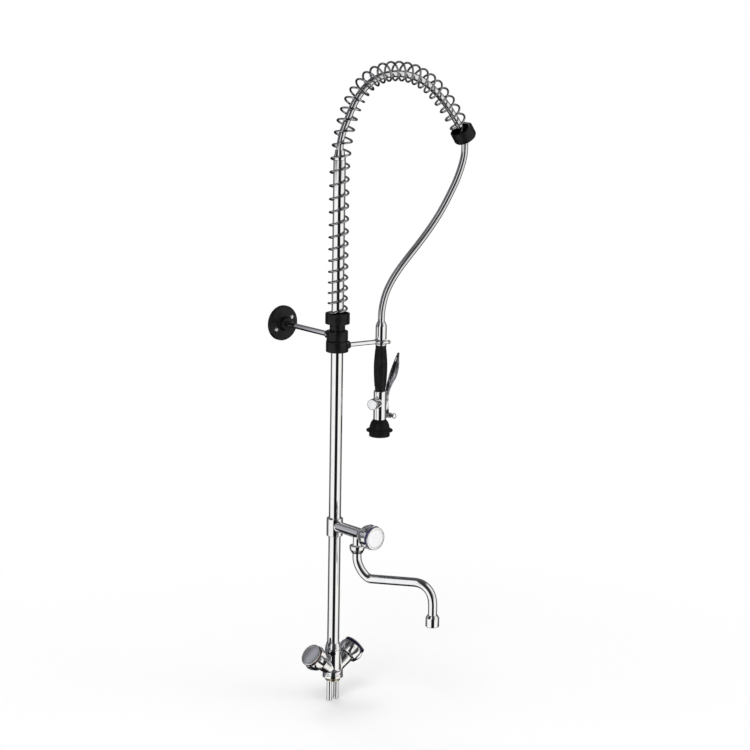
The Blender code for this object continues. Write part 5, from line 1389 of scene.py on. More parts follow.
# -------------------------------- deck mixer and column
@dataclass
class DeckBase:
    """The ring on the deck, its seal, the brass spigot and the two water tails."""

    radius: float = 0.0195
    ring_height: float = 0.0045
    spigot_radius: float = 0.0142
    spigot_depth: float = 0.007
    seal_outer: float = 0.0184
    seal_inner: float = 0.0150
    seal_height: float = 0.0012
    inlet_radius: float = 0.0050
    inlet_bore: float = 0.0038
    inlet_offset: float = 0.008
    inlet_reach: float = 0.045
    inlet_top: float = 0.012

    def build(self) -> None:
        """Make the base's pieces."""
        groove = self.seal_height + GAP
        bore = self.spigot_radius + GAP
        ring = Form().turned([
            (self.radius, self.ring_height), (self.radius, 0), (self.seal_outer + GAP, 0),
            (self.seal_outer + GAP, groove), (self.seal_inner - GAP, groove), (self.seal_inner - GAP, 0),
            (bore, 0), (bore, self.ring_height)], closed=True, ease=0.0007)
        fitted(ring.made("deck_ring"), "column", Finishes.CHROME, "base_ring")
        seal = Form().turned([
            (self.seal_outer, self.seal_height), (self.seal_outer, 0), (self.seal_inner, 0),
            (self.seal_inner, self.seal_height)], closed=True, ease=0.0004)
        fitted(seal.made("deck_ring_seal"), "column", Finishes.RUBBER, "deck_seal")
        rows = [(0, self.ring_height)]
        rows += [(self.spigot_radius, self.ring_height), (self.spigot_radius, -0.0012)]
        for i in range(5):
            z = -0.0014 - 0.001 * i
            rows += [(self.spigot_radius, z), (self.spigot_radius - 0.0005, z - 0.0005)]
        rows += [(self.spigot_radius - 0.0004, -self.spigot_depth), (0, -self.spigot_depth)]
        spigot = Form().turned(rows, ease=0.00018).made("threaded_spigot")
        holes = Form()
        for side in (-1, 1):
            place = moved(side * self.inlet_offset, 0, 0)
            holes.bar(self.inlet_radius + GAP, 0.02, -0.02, place, SMALL_ROUND)
        fitted(bored(spigot, holes), "column", Finishes.BRASS, "body_spigot")
        for side, name in ((-1, "hot"), (1, "cold")):
            pipe = Form(moved(side * self.inlet_offset, 0, 0)).turned([
                (self.inlet_radius, self.inlet_top), (self.inlet_radius, -self.inlet_reach),
                (self.inlet_bore, -self.inlet_reach), (self.inlet_bore, self.inlet_top)],
                closed=True, sides=SMALL_ROUND, ease=0.0005)
            fitted(pipe.made(name + "_water_tail"), "column", Finishes.CHROME, "inlet_tube_" + name)


@dataclass
class Mixer:
    """The casting with its two raised arms, the collar nut and the set screw."""

    trunk_radius: float = 0.0155
    trunk_top: float = 0.054
    bottom: float = 0.0048
    bead: float = 0.0195
    arm_root: float = 0.0125
    arm_end: float = 0.014
    arm_start: float = 0.012
    arm_length: float = 0.041
    riser_seat: float = 0.038
    screw_radius: float = 0.0047
    screw_height: float = 0.0487
    screw_turn: float = -130.5
    screw_front: float = 0.0152
    screw_foot: float = 0.0121
    hex_radius: float = 0.0026
    hex_depth: float = 0.0016
    nut: tuple = ((0.0124, 0.0673), (0.0128, 0.0667), (0.0153, 0.0563), (0.0153, 0.0543),
                  (0.0118, 0.0543), (0.0118, 0.0673))

    def casting(self) -> None:
        """Cast the body: trunk and arms in one, with beads turned at its foot."""
        form = Form().bar(self.trunk_radius, self.trunk_top, self.bottom + 0.0115, ease=0.0010)
        for arm in (HOT_ARM, COLD_ARM):
            form.turned([
                (0, self.arm_length), (self.arm_end, self.arm_length),
                (self.arm_end, self.arm_length - 0.005), (self.arm_root, self.arm_start + 0.008),
                (self.arm_root, self.arm_start), (0, self.arm_start)], arm, ease=0.0012)
        body = cast_in_one(form.made("mixer_casting"), CAST_GRAIN, 10)
        holes = Form().bar(RISER_BORE, 0.1, self.riser_seat)
        for arm in (HOT_ARM, COLD_ARM):
            holes.bar(*CARTRIDGE_BORE, arm)
        holes.bar(self.screw_radius + GAP, 0.03, self.screw_foot, self.screw_place(), SMALL_ROUND)
        fitted(bored(body, holes, CRISP), "column", Finishes.CHROME, "mixer_body")
        foot = self.bottom
        groove = self.bead - 0.0019
        beads = Form().turned([
            (0, foot + 0.0125), (self.trunk_radius - 0.0004, foot + 0.0125),
            (self.trunk_radius + 0.00005, foot + 0.0110), (self.trunk_radius + 0.0003, foot + 0.0101),
            (self.trunk_radius + 0.0014, foot + 0.0090), (self.bead - 0.0008, foot + 0.0079),
            (self.bead, foot + 0.0062), (self.bead - 0.0003, foot + 0.0044), (groove, foot + 0.0034),
            (groove, foot + 0.0024), (self.bead, foot + 0.0016), (self.bead, foot), (0, foot)], ease=0.0005)
        fitted(beads.made("mixer_foot"), "column", Finishes.CHROME)

    def screw_place(self) -> Matrix:
        """The frame of the riser's set screw, pointing out."""
        way = turned_about_z(self.screw_turn) @ Vector((1, 0, 0))
        return moved(0, 0, self.screw_height) @ aimed(way)

    def build(self) -> None:
        """Make the mixer's pieces."""
        self.casting()
        nut = Form().turned(self.nut, closed=True, ease=0.0007)
        fitted(nut.made("riser_collar_nut"), "column", Finishes.CHROME, "riser_nut")
        head, front = self.screw_radius + 0.0008, self.screw_front + 0.0016
        screw = Form(self.screw_place()).turned([
            (0, front), (head - 0.0018, front), (head - 0.0006, front - 0.0006), (head, front - 0.0018),
            (head, 0.0141), (self.screw_radius, 0.0137), (self.screw_radius, self.screw_foot),
            (0, self.screw_foot)], sides=SMALL_ROUND, ease=0.0003).made("riser_grub_screw")
        key = Form(self.screw_place()).bar(self.hex_radius, 0.02, self.screw_front - self.hex_depth, sides=6)
        fitted(bored(screw, key), "column", Finishes.BLACK, "riser_set_screw")


@dataclass
class Riser:
    """The two chromed tubes of the column."""

    radius: float = 0.0115
    bore: float = 0.010
    lower: tuple[float, float] = (0.0383, 0.2902)
    upper: tuple[float, float] = (0.2968, 0.985)

    def build(self) -> None:
        """Make both tubes."""
        for name, (bottom, top) in (("lower", self.lower), ("upper", self.upper)):
            rows = [(self.radius, top - (top - bottom) * i / 12) for i in range(13)]
            form = Form().turned([*rows, (self.bore, bottom), (self.bore, top)], closed=True, ease=0.0005)
            fitted(form.made(name + "_riser_tube"), "column", Finishes.CHROME, "riser_" + name)


@dataclass
class Tap:
    """One tap on its arm: cartridge, fluted knob, coloured ring, bezel and domed disc."""

    name: str
    frame: Matrix
    body: str
    ring_finish: Finish
    disc_finish: Finish
    flutes: int = 8
    flute_radius: float = 0.0075
    flute_reach: float = 0.0281
    blend: float = 0.0013
    plain_radius: float = 0.0175
    outer: tuple = ((0.017, 0.0677), (0.017, 0.0630), (0.0213, 0.0630), (0.0221, 0.0624),
                    (0.0234, 0.0593), (0.0240, 0.0558), (0.0232, 0.0513), (0.0206, 0.044),
                    (0.0198, 0.042), (0.016, 0.042))
    inner: tuple = ((0.016, 0.054), (0.0043, 0.054), (0.0043, 0.0623), (0, 0.0623))

    def knob(self) -> None:
        """Turn the knob with its scalloped side."""
        outline = eased([(0, 0.0677), *self.outer, *self.inner], 0.0009, steps=5)
        dense = [outline[0]]
        for a, b in zip(outline, outline[1:]):
            pieces = max(1, round(math.dist(a, b) / 0.0012))
            dense += [(a[0] + (b[0] - a[0]) * k / pieces, a[1] + (b[1] - a[1]) * k / pieces)
                      for k in range(1, pieces + 1)]
        sides = self.flutes * 22
        rings = []
        for radius, height in dense:
            if radius < 1e-7:
                rings.append([Vector((0, 0, height))])
                continue
            ring = []
            for k in range(sides):
                angle = 2 * math.pi * k / sides
                size = self.scalloped(radius, angle) if radius > self.plain_radius else radius
                ring.append(Vector((size * math.cos(angle), size * math.sin(angle), height)))
            rings.append(ring)
        item = Form(self.frame).loft(rings).made(self.name + "_fluted_knob", CRISP)
        fitted(item, self.body, Finishes.CHROME, self.name + "_knob")

    def scalloped(self, radius: float, angle: float) -> float:
        """The knob's radius once the nearest flute is cut, with a soft edge.

        Args:
            radius: The radius before the cut.
            angle: The angle round the knob.

        Returns:
            The radius after it.
        """
        step = 2 * math.pi / self.flutes
        off = (angle % step) - step / 2
        side = self.flute_reach * math.sin(off)
        if abs(side) >= self.flute_radius:
            return radius
        cut = self.flute_reach * math.cos(off) - math.sqrt(self.flute_radius ** 2 - side ** 2)
        near = max(self.blend - abs(radius - cut), 0.0) / self.blend
        return min(radius, cut) - near * near * self.blend / 4

    def build(self) -> None:
        """Make the tap's pieces."""
        self.knob()
        ring = Form(self.frame).turned([(0.0213, 0.0677), (0.0213, 0.0633), (0.0173, 0.0633),
                                        (0.0173, 0.0677)], closed=True, ease=0.0006)
        fitted(ring.made(self.name + "_colour_ring"), self.body, self.ring_finish, self.name + "_index_ring")
        bezel = Form(self.frame).turned([
            (0, 0.0688), (0.0175, 0.0688), (0.0175, 0.0704), (0.0186, 0.0704), (0.0205, 0.0700),
            (0.0215, 0.0691), (0.0215, 0.0680), (0, 0.0680)], ease=0.0005)
        fitted(bezel.made(self.name + "_front_bezel"), self.body, Finishes.CHROME, self.name + "_bezel")
        crown = [(0.0172 * i / 12, 0.0699 + 0.0012 * (1 - (i / 12) ** 2)) for i in range(13)]
        disc = Form(self.frame).turned([*crown, (0.0172, 0.0691), (0, 0.0691)], ease=0.0003)
        fitted(disc.made(self.name + "_domed_disc"), self.body, self.disc_finish, self.name + "_index_disc")


@dataclass
class Tee:
    """The sleeve on the riser with the side arm, the tap head and the outlet stub."""

    sleeve_radius: float = 0.0155
    top: float = 0.311
    bottom: float = 0.276
    arm_radius: float = 0.01025
    head_radius: float = 0.014
    head_start: float = 0.028
    taper: float = 0.006
    arm_length: float = 0.041
    reach: float = 0.049
    stub_radius: float = 0.0083
    thread_radius: float = 0.0106
    thread_top: float = 0.2714
    stub_end: float = 0.262
    socket_depth: float = 0.0145
    stub_bore: float = 0.0069

    def build(self) -> None:
        """Cast the tee and bore its sockets."""
        form = Form().bar(self.sleeve_radius, self.top, self.bottom, ease=0.0018)
        form.turned([
            (0, self.arm_length), (self.head_radius, self.arm_length),
            (self.head_radius, self.head_start + self.taper), (self.arm_radius, self.head_start),
            (self.arm_radius, -self.reach), (0, -self.reach)], SPOUT_ARM, ease=0.0012)
        form.turned([
            (0, TEE_HEIGHT), (self.stub_radius, TEE_HEIGHT), (self.stub_radius, self.thread_top),
            (self.thread_radius, self.thread_top), (self.thread_radius, self.stub_end),
            (0, self.stub_end)], SPOUT, ease=0.0003)
        body = cast_in_one(form.made("tee_casting"), CAST_GRAIN, 9)
        holes = Form()
        for low, high in ((self.bottom - 0.01, self.bottom + self.socket_depth),
                          (self.top - self.socket_depth, self.top + 0.01)):
            holes.bar(RISER_BORE, high, low)
        holes.bar(*CARTRIDGE_BORE, SPOUT_ARM)
        holes.bar(self.stub_bore, 0.276, 0.25, SPOUT)
        fitted(bored(body, holes, CRISP), "column", Finishes.CHROME, "tee_body")


@dataclass
class SwingSpout:
    """The swing spout: its nut, the bent tube and the aerator."""

    radius: float = 0.0085
    reach: float = 0.1455
    top: float = 0.2617
    arm_height: float = 0.209
    end: float = 0.133
    mouth: float = 0.1262

    def line(self) -> list[tuple[float, float, float]]:
        """The middle of the tube.

        Returns:
            Its points, from its flange down to the aerator.
        """
        first = ((0, 0.249), (0, 0.233), (0.0154, self.arm_height), (0.028, self.arm_height))
        second = ((0.1095, self.arm_height), (0.1318, self.arm_height), (self.reach, 0.1922),
                  (self.reach, 0.167))
        points = [(0, self.top), (0, self.top - 0.003), (0, 0.254)]
        points += [bezier_point(*first, i / 20) for i in range(21)]
        points += [(0.028 + (0.1095 - 0.028) * i / 8, self.arm_height) for i in range(1, 8)]
        points += [bezier_point(*second, i / 22) for i in range(23)]
        points += [(self.reach, 0.150), (self.reach, self.end)]
        return [(x, 0.0, z) for x, z in points]

    def build(self) -> None:
        """Make the spout's pieces."""
        nut = Form(SPOUT).turned([
            (0.0136, 0.2720), (0.0144, 0.2712), (0.0144, 0.2650), (0.0101, 0.2567), (0.0088, 0.2567),
            (0.0088, 0.2592), (0.0109, 0.2592), (0.0109, 0.2720)], closed=True, ease=0.0006)
        fitted(nut.made("spout_cap_nut"), "column", Finishes.CHROME, "spout_nut")
        pipe = Form(SPOUT).swept(self.line(), self.radius, sides=64)
        pipe.turned([(0, 0.2700), (0.0052, 0.2700), (0.0052, self.top), (0.0103, self.top),
                     (0.0103, self.top - 0.0022), (0, self.top - 0.0022)], ease=0.0003)
        fitted(pipe.made("bent_spout"), "spout", Finishes.CHROME, "spout_tube")
        low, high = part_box("spout_o_ring")
        middle = (low + high) / 2
        wire = (high.z - low.z) / 2
        ring = arc_points((0, 0), (high.x - low.x) / 2 - wire, 0, 360, 48)[:-1]
        seal = Form().swept([(middle.x + x, middle.y + y, middle.z) for x, y in ring], wire, sides=16,
                            looped=True)
        fitted(seal.made("spout_seal_ring"), "spout", Finishes.RUBBER, "spout_o_ring")
        mouth = SPOUT @ moved(self.reach, 0, 0)
        housing = Form(mouth).turned([
            (0.0087, 0.1487), (0.0098, 0.1487), (0.0104, 0.1477), (0.0128, 0.1437), (0.0128, 0.1274),
            (0.0116, self.mouth), (0.0095, self.mouth), (0.0095, 0.1310), (0.0087, 0.1310)],
            closed=True, ease=0.0006)
        fitted(housing.made("aerator_shell"), "spout", Finishes.CHROME, "aerator_housing")
        insert = Form(mouth).turned([(0, 0.1309), (0.0092, 0.1309), (0.0092, 0.1280), (0.0078, 0.1274),
                                     (0, 0.1274)], ease=0.0004)
        fitted(insert.made("aerator_disc"), "spout", Finishes.STEEL, "aerator_insert")
        for count, out in ((8, 0.0034), (14, 0.0062)):
            pin = Form().bar(0.0007, 0.1277, 0.1266, sides=10, ease=0.0002).made(f"aerator_jets_{count}")
            pin = Pattern.ROUND.grown(pin, Finishes.STEEL, mouth, count=count, reach=out, start=0.0)
            fitted(pin, "spout", Finishes.STEEL)


@dataclass
class WallBracket:
    """The ring on the riser, its rod, and the flange on the wall with two screws."""

    ring_radius: float = 0.020
    ring_top: float = 0.668
    ring_bottom: float = 0.6493
    level: float = 0.657
    boss_radius: float = 0.008
    boss_reach: float = 0.029
    rod_radius: float = 0.005
    grub_bore: float = 0.0027
    front: float = 0.158
    wall: float = 0.166
    flange_radius: float = 0.0335
    hub_radius: float = 0.013
    hub: float = 0.1485
    screw_circle: float = 0.021
    screw_turn: float = 29.0

    def build(self) -> None:
        """Make the bracket's pieces."""
        way = moved(0, 0, self.level) @ aimed((0, 1, 0))
        ring = Form().bar(self.ring_radius, self.ring_top, self.ring_bottom, ease=0.0016)
        ring.bar(self.boss_radius, self.boss_reach, 0.004, way, ease=0.0008)
        body = cast_in_one(ring.made("bracket_ring"), CAST_GRAIN, 6)
        grub = moved(0, 0.025, self.level) @ aimed((-1, 0, 0))
        holes = Form().bar(RISER_BORE, 0.7, 0.6)
        holes.bar(self.rod_radius + GAP, 0.04, 0.017, way, SMALL_ROUND)
        holes.bar(self.grub_bore, 0.02, 0.003, grub, 24)
        fitted(bored(body, holes, CRISP), "column", Finishes.BLACK, "wall_bracket_ring")
        rod = Form(way).bar(self.rod_radius, 0.1617, 0.0173, sides=64, ease=0.0006)
        fitted(rod.made("bracket_rod"), "column", Finishes.CHROME, "wall_rod")
        front, hub, big = self.front, self.hub, self.flange_radius
        flange = Form(way).turned([
            (0, self.wall), (big, self.wall), (big, front + 0.0025), (big - 0.0010, front + 0.0008),
            (big - 0.0030, front), (self.hub_radius + 0.0020, front), (self.hub_radius, front - 0.0015),
            (self.hub_radius - 0.0012, hub + 0.001), (self.hub_radius - 0.0024, hub),
            (self.rod_radius + GAP, hub), (self.rod_radius + GAP, 0.162), (0, 0.162)], ease=0.0009)
        fitted(flange.made("bracket_flange"), "column", Finishes.BLACK, "wall_flange")
        self.screws()

    def screws(self) -> None:
        """Set the two wall screws with their crossed slots."""
        head = Form().turned([
            (0, 0.0022), (0.0018, 0.0022), (0.0036, 0.00165), (0.0045, 0.0), (0.0024, -0.0002),
            (0.0024, -0.0070), (0, -0.0070)], sides=SMALL_ROUND, ease=0.0005).made("bracket_screws")
        slot = Form()
        for x, y in ((0.0021, 0.00045), (0.00045, 0.0021)):
            slot.plate([(-x, -y), (x, -y), (x, y), (-x, y)], 0.0026, moved(0, 0, 0.0024))
        place = moved(0, self.front, self.level) @ aimed((0, -1, 0))
        pair = Pattern.ROUND.grown(bored(head, slot), Finishes.STEEL, place, count=2,
                                   reach=self.screw_circle, start=math.radians(self.screw_turn))
        fitted(pair, "column", Finishes.STEEL, "wall_screw_upper", "wall_screw_lower")


@dataclass
class Hook:
    """The collar that turns on the riser, and the rod with its fork."""

    radius: float = 0.021
    top: float = 0.649
    bottom: float = 0.628
    boss_radius: float = 0.0075
    boss_reach: float = 0.026
    rod_radius: float = 0.0043
    bow_radius: float = 0.0117
    wire_radius: float = 0.0032
    tip: float = 0.1042
    ball_radius: float = 0.0037
    ball_spread: float = 0.0122

    def build(self) -> None:
        """Make the hook's pieces."""
        way = GANTRY @ moved(0, 0, HOOK_HEIGHT) @ aimed((1, 0, 0))
        collar = Form().bar(self.radius, self.top, self.bottom, ease=0.0016)
        collar.bar(self.boss_radius, self.boss_reach, 0.004, way, ease=0.0008)
        body = cast_in_one(collar.made("hook_ring"), CAST_GRAIN, 6)
        holes = Form().bar(RISER_BORE, 0.7, 0.6)
        holes.bar(self.rod_radius + GAP, 0.04, 0.014, way, SMALL_ROUND)
        fitted(bored(body, holes, CRISP), "hook", Finishes.BLACK, "hook_collar")
        fork = Form(GANTRY @ moved(0, 0, HOOK_HEIGHT))
        fork.bar(self.rod_radius, HANDSET_REACH - self.bow_radius, 0.0143, aimed((1, 0, 0)), 64, 0.0004)
        bow = arc_points((HANDSET_REACH, 0), self.bow_radius, 90, 270, 40)
        line = [(self.tip, self.bow_radius), *bow, (self.tip, -self.bow_radius)]
        fork.swept([(x, y, 0.0) for x, y in line], self.wire_radius)
        for side in (-1, 1):
            ball = [(abs(x) if abs(x) > 1e-6 else 0.0, z)
                    for x, z in arc_points((0, 0), self.ball_radius, 90, -90, 24)]
            fork.turned(ball, moved(self.tip + self.ball_radius / 4, side * self.ball_spread, 0),
                        sides=SMALL_ROUND, ease=0)
        item = cast_in_one(fork.made("hook_rod_and_fork"), 0.00045, 6)
        fitted(item, "hook", Finishes.CHROME, "hook_fork")


# -------------------------------- handset
@dataclass
class Handset:
    """Ferrule, grip, bumper and spray face, all turned about the handset's axis."""

    grip_top: float = 0.6312
    grip_bottom: float = 0.5453
    grip_radii: tuple = ((0.0, 0.0100), (0.20, 0.0116), (0.38, 0.0127), (0.50, 0.0129), (0.62, 0.0127),
                         (0.80, 0.0118), (0.93, 0.0106), (1.0, 0.0096))
    rib_count: int = 18
    rib_radius: float = 0.0009
    bumper_top: float = 0.4897
    nozzle_circle: float = 0.0095

    def girth(self, share: float) -> float:
        """The grip's radius.

        Args:
            share: How far down the grip, from 0 to 1.

        Returns:
            The radius there.
        """
        curve = smooth_route(self.grip_radii, 0.01)
        for (a, low), (b, high) in zip(curve, curve[1:]):
            if share <= b:
                return low + (high - low) * (share - a) / (b - a)
        return curve[-1][1]

    def grip(self) -> None:
        """Mould the grip and its long ribs."""
        length = self.grip_top - self.grip_bottom
        depth = 0.0006
        steps = 40
        rows = []
        for i in range(steps + 1):
            radius = self.girth(i / steps) - depth * smooth_step(min(i, steps - i) / 4)
            rows.append((radius, self.grip_top - length * i / steps))
        core = Form(HANDSET).turned([*rows, (0.0063, self.grip_bottom), (0.0063, self.grip_top)],
                                    closed=True, ease=0.0005)
        fitted(core.made("grip_core"), "handset", Finishes.GRIP, "grip")
        line = []
        for i in range(33):
            share = 0.05 + 0.90 * i / 32
            line.append((self.girth(share) - self.rib_radius, 0.0, self.grip_top - length * share))
        rib = Form().swept(line, lambda share: self.rib_radius * min(1.0, 0.25 + 12 * min(share, 1 - share)),
                           sides=12).made("grip_ribs")
        ribs = Pattern.ROUND.grown(rib, Finishes.GRIP, HANDSET, count=self.rib_count, reach=0.0, start=0.0)
        fitted(ribs, "handset", Finishes.GRIP)

    def bumper(self) -> None:
        """Mould the rubber bumper."""
        top = self.bumper_top
        form = Form(HANDSET).turned([
            (0.0125, top), (0.0165, top - 0.0055), (0.0186, top - 0.0120), (0.0194, 0.4725),
            (0.0246, 0.4706), (0.0252, 0.4690), (0.0246, 0.4676), (0.0196, 0.4662), (0.0196, 0.4585),
            (0.0186, 0.4575), (0.016, 0.4575), (0.016, 0.4645), (0.0103, 0.4645), (0.0103, top)],
            closed=True, ease=0.0012)
        fitted(form.made("bumper_moulding"), "handset", Finishes.RUBBER, "bumper")

    def face(self) -> None:
        """Make the spray face with its ring of nozzles."""
        disc = Form(HANDSET).turned([
            (0, 0.4657), (0.0096, 0.4657), (0.0096, 0.4642), (0.0157, 0.4642), (0.0157, 0.4594),
            (0, 0.4594)], ease=0.0006)
        fitted(disc.made("spray_disc"), "handset", Finishes.STEEL, "spray_face")
        nozzle = Form().turned([
            (0.0014, 0.4598), (0.0014, 0.4588), (0.0009, 0.4584), (0.0006, 0.4584), (0.0006, 0.4598)],
            closed=True, sides=16, ease=0.0001).made("spray_nozzles")
        ring = Pattern.ROUND.grown(nozzle, Finishes.RUBBER, HANDSET, count=8, reach=self.nozzle_circle,
                                   start=math.radians(22.5))
        fitted(ring, "handset", Finishes.RUBBER)

    def ferrule(self) -> None:
        """Turn the hose's ferrule with the neck that sits in the fork."""
        form = Form(HANDSET).turned([
            (0, 0.664), (0.0068, 0.664), (0.0068, 0.676), (0.0079, 0.676), (0.0105, 0.669), (0.0105, 0.643),
            (0.008, 0.643), (0.008, 0.635), (0.0105, 0.635), (0.0105, 0.6323), (0.0095, 0.6315),
            (0, 0.6315)], ease=0.0006)
        fitted(form.made("ferrule_turned"), "hose_end", Finishes.CHROME, "hose_ferrule")

    def build(self) -> None:
        """Make the handset's round pieces."""
        self.ferrule()
        self.grip()
        self.bumper()
        self.face()


@dataclass
class SprayValve:
    """The spray valve with its bonnet, stem spring, pin and keeper ring."""

    level: float = 0.523
    radius: float = 0.0122
    top: float = 0.545
    bottom: float = 0.490
    spigot_radius: float = 0.010
    spigot_end: float = 0.466
    ear_radius: float = 0.005
    ear_thickness: float = 0.003
    ear_middle: float = 0.0065
    bonnet_radius: float = 0.0105
    bonnet_start: float = 0.0145
    bonnet_length: float = 0.016
    pin_radius: float = 0.002
    pin_head: float = 0.0046
    keeper_radius: float = 0.0045
    spring_ends: tuple[float, float] = (0.0173, 0.0270)
    spring_turns: int = 4
    spring_steps: int = 24

    def casting(self) -> None:
        """Cast the valve's body with its bosses and the lever's two ears."""
        form = Form(VALVE).turned([
            (0, 0.6309), (0.006, 0.6309), (0.006, self.top), (self.radius, self.top),
            (self.radius, self.bottom), (self.spigot_radius, self.bottom),
            (self.spigot_radius, self.spigot_end), (0, self.spigot_end)], ease=0.0014)
        outward = moved(0, 0, self.level)
        form.bar(0.0092, self.bonnet_start - GAP, 0.004, outward @ aimed((-1, 0, 0)), ease=0.0004)
        form.bar(0.006, 0.015, 0.004, outward @ aimed((1, 0, 0)), ease=0.0008)
        x, z = LEVER_PIVOT
        foot = self.bottom + 0.001
        outline = [(0.0073, foot), (0.0172, foot), *arc_points((x, z), self.ear_radius, -90, 90, 16),
                   (0.0073, z + self.ear_radius)]
        for side in (-1, 1):
            upright = moved(0, side * self.ear_middle, 0) @ Matrix.Rotation(math.radians(90), 4, "X")
            form.plate(outline, self.ear_thickness, upright)
        item = cast_in_one(form.made("valve_casting"), 0.0005, 6)
        holes = Form(VALVE).bar(0.0028, 0.03, -0.03, outward @ aimed((1, 0, 0)), SMALL_ROUND)
        holes.bar(self.pin_radius + GAP, 0.02, -0.02, moved(x, 0, z) @ aimed((0, 1, 0)), SMALL_ROUND)
        fitted(bored(item, holes, CRISP), "handset", Finishes.CHROME, "valve_body")

    def bonnet(self) -> None:
        """Turn the bonnet, with its pale cover."""
        end, radius = self.bonnet_start + self.bonnet_length, self.bonnet_radius
        place = VALVE @ moved(0, 0, self.level) @ aimed((-1, 0, 0))
        form = Form(place).turned([
            (0, end - 0.0007), (0.0091, end - 0.0007), (0.0094, end - 0.0002),
            (radius - 0.0004, end - 0.0003), (radius, end - 0.0034), (radius - 0.0006, end - 0.0038),
            (radius - 0.0006, end - 0.0046), (radius, end - 0.0050), (radius, self.bonnet_start),
            (0.0075, self.bonnet_start), (0.0075, 0.028), (0, 0.028)], ease=0.0007)
        fitted(form.made("bonnet_turned"), "handset", Finishes.CHROME, "valve_bonnet")
        cover = Form(place).turned([(0, end), (0.0050, end - 0.0001), (0.0089, end - 0.0004),
                                    (0.0089, end - 0.0009), (0, end - 0.0009)], ease=0.0002)
        fitted(cover.made("bonnet_cover_disc"), "handset", Finishes.WHITE)

    def stem_spring(self) -> None:
        """Wind the stem's return spring between valve and stem."""
        (first, last), steps = self.spring_ends, self.spring_steps
        count = self.spring_turns * steps
        line = [(-first - (last - first) * k / count, 0, self.level) for k in range(count + 1)]
        angles = [2 * math.pi * k / steps for k in range(count + 1)]
        item = wound_line("stem_return_spring", line, angles, [(0.0, 1.0, 0.0)] * len(line), (0.0, 0.0, 1.0))
        item = Pattern.COIL.grown(item, Finishes.STEEL, VALVE, coil_radius=0.005, wire_radius=0.0007,
                                  sides=12)
        Finishes.STEEL.dress(item)
        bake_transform(item)
        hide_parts("valve_spring")

    def pin_and_ring(self) -> None:
        """Make the lever's pin, and the keeper ring through its head."""
        x, z = LEVER_PIVOT
        half = self.ear_middle + self.ear_thickness / 2
        head = half + GAP
        place = VALVE @ moved(x, 0, z) @ aimed((0, 1, 0))
        pin = Form(place).turned([
            (0, half), (self.pin_radius, half), (self.pin_radius, -head), (0.0026, -head),
            (0.0026, -head - self.pin_head), (0, -head - self.pin_head)],
            sides=SMALL_ROUND, ease=0.0004).made("lever_pivot_pin")
        middle = -head - self.pin_head / 2
        hole = Form(VALVE).bar(0.0016, z + 0.01, z - 0.01, moved(x, middle, 0), 20)
        fitted(bored(pin, hole), "handset", Finishes.STEEL, "lever_pin")
        circle = arc_points((middle - self.keeper_radius + 0.0004, z), self.keeper_radius, 0, 360, 60)[:-1]
        ring = Form(VALVE).swept([(x, y, high) for y, high in circle], 0.0008, sides=16, looped=True)
        fitted(ring.made("pin_keeper_ring"), "keeper", Finishes.STEEL, "keeper_ring")

    def build(self) -> None:
        """Make the valve's pieces."""
        self.casting()
        self.bonnet()
        self.stem_spring()
        self.pin_and_ring()


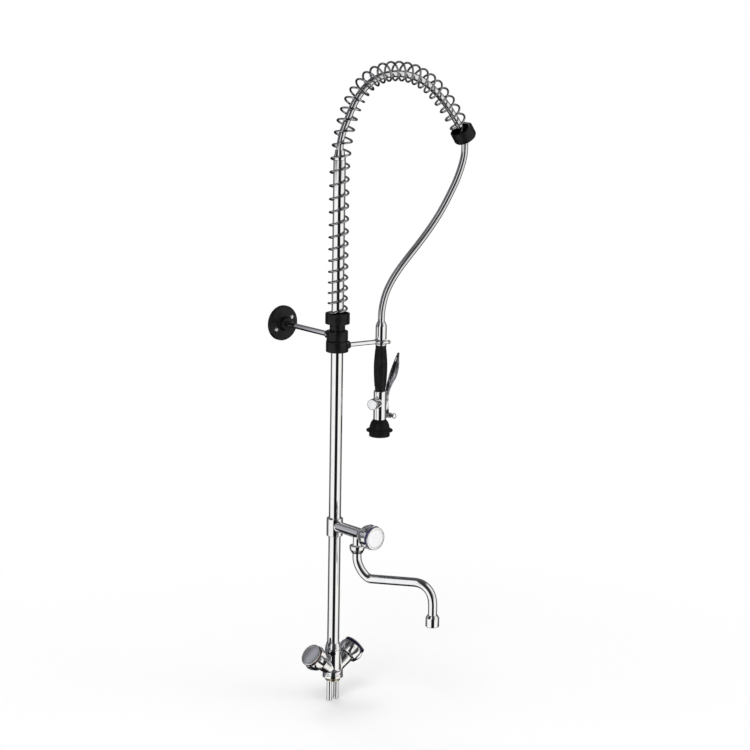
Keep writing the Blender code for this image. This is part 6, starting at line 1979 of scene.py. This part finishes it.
@dataclass
class Lever:
    """The squeeze lever: a bent leaf with rolled edges and a channel down its middle."""

    shape: tuple = (LEVER_PIVOT, (0.0262, 0.508), (0.0256, 0.523), (0.0275, 0.538), (0.0335, 0.550),
                    (0.0430, 0.561), (0.0520, 0.575), (0.0600, 0.591), (0.0670, 0.607))
    thickness: float = 0.0026
    foot: float = 0.0094
    leaf: float = 0.0174
    tip: float = 0.0060
    leaf_start: float = 0.536
    leaf_widest: float = 0.570
    eye_radius: float = 0.0045
    channel: float = 0.0016

    def width(self, height: float) -> float:
        """The leaf's width.

        Args:
            height: A height on the leaf.

        Returns:
            The width there.
        """
        if height <= self.leaf_start:
            return self.foot
        if height <= self.leaf_widest:
            share = (height - self.leaf_start) / (self.leaf_widest - self.leaf_start)
            return self.foot + (self.leaf - self.foot) * smooth_step(share)
        tip_height = self.shape[-1][1] - self.tip / 2
        share = (height - self.leaf_widest) / (tip_height - self.leaf_widest)
        if share < 1:
            return self.leaf + (self.tip - self.leaf) * share ** 1.6
        off = min((height - tip_height) / (self.tip / 2), 1.0)
        return self.tip * math.sqrt(max(1 - off * off, 0.0))

    def section(self, middle: Vector, normal: Vector, width: float, hollow: float) -> list[Vector]:
        """The points round the leaf at one station.

        Args:
            middle: The station's middle.
            normal: The way that the leaf faces there.
            width: Its width there.
            hollow: How deep its channel is there.

        Returns:
            The points, the outer side first.
        """
        steps = 14
        half = self.thickness / 2 * min(1.0, width / self.tip + 0.15)
        outer, inner = [], []
        for i in range(steps + 1):
            across = -1 + 2 * i / steps
            edge = math.sqrt(max(1 - abs(across) ** 8, 0.0))
            dip = hollow * math.cos(across * math.pi / 2) ** 2
            spread = Vector((0, across * width / 2, 0))
            outer.append(middle + spread + normal * (half * edge - 0.15 * dip))
            inner.append(middle + spread - normal * (half * edge - dip))
        return outer + inner[::-1][1:-1]

    def build(self) -> None:
        """Form the lever, with the eye round its pin."""
        line = smooth_route(self.shape, 0.0017)
        rings = [[Vector((line[0][0], 0.0, line[0][1]))]]
        for i, (x, z) in enumerate(line[:-1]):
            before, after = line[max(i - 1, 0)], line[i + 1]
            size = math.dist(before, after)
            normal = Vector(((after[1] - before[1]) / size, 0.0, -(after[0] - before[0]) / size))
            hollow = self.channel * smooth_step((z - 0.505) / 0.02) * smooth_step((0.606 - z) / 0.012)
            rings.append(self.section(Vector((x, 0, z)), normal, self.width(z), hollow))
        rings.append([Vector((line[-1][0], 0.0, line[-1][1]))])
        form = Form(VALVE).loft(rings)
        x, z = LEVER_PIVOT
        half = self.foot / 2
        form.bar(self.eye_radius, half, -half, moved(x, 0, z) @ aimed((0, 1, 0)), 64, 0.0005)
        fitted(form.made("lever_leaf", math.radians(45)), "squeeze_lever", Finishes.CHROME, "lever")


def dress_kept_solids(nodes: dict[str, bpy.types.Object]) -> None:
    """Give the solids that stay their finishes.

    Args:
        nodes: The solids of the frame, by name.
    """
    for name, item in nodes.items():
        if name.endswith(("_cartridge", "_spindle")):
            finish = Finishes.BRASS
        elif name in ("wall_bracket_screw", "valve_stem"):
            finish = Finishes.STEEL
        else:
            continue
        for slot in item.material_slots:
            slot.material = finish.material()
        LOG.info("%s: the solid stays", name)


def main() -> None:
    """Build the faucet's looks round its frame."""
    logging.basicConfig(level=logging.INFO, format="%(name)s: %(message)s")
    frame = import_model()
    Studio().set_up()
    arch = Arch()
    FreeHose(arch).build()
    DeckBase().build()
    Mixer().build()
    Riser().build()
    for tap in (Tap("hot", HOT_ARM, "hot_tap", Finishes.RED, Finishes.SILVERED),
                Tap("cold", COLD_ARM, "cold_tap", Finishes.SHADED_NAVY, Finishes.SILVERED),
                Tap("tap", SPOUT_ARM, "spout_tap", Finishes.NAVY, Finishes.WHITE)):
        tap.build()
    Tee().build()
    SwingSpout().build()
    WallBracket().build()
    Hook().build()
    SpringGantry(arch).build()
    Handset().build()
    SprayValve().build()
    Lever().build()
    dress_kept_solids(frame["nodes"])


if __name__ == "__main__":
    main()
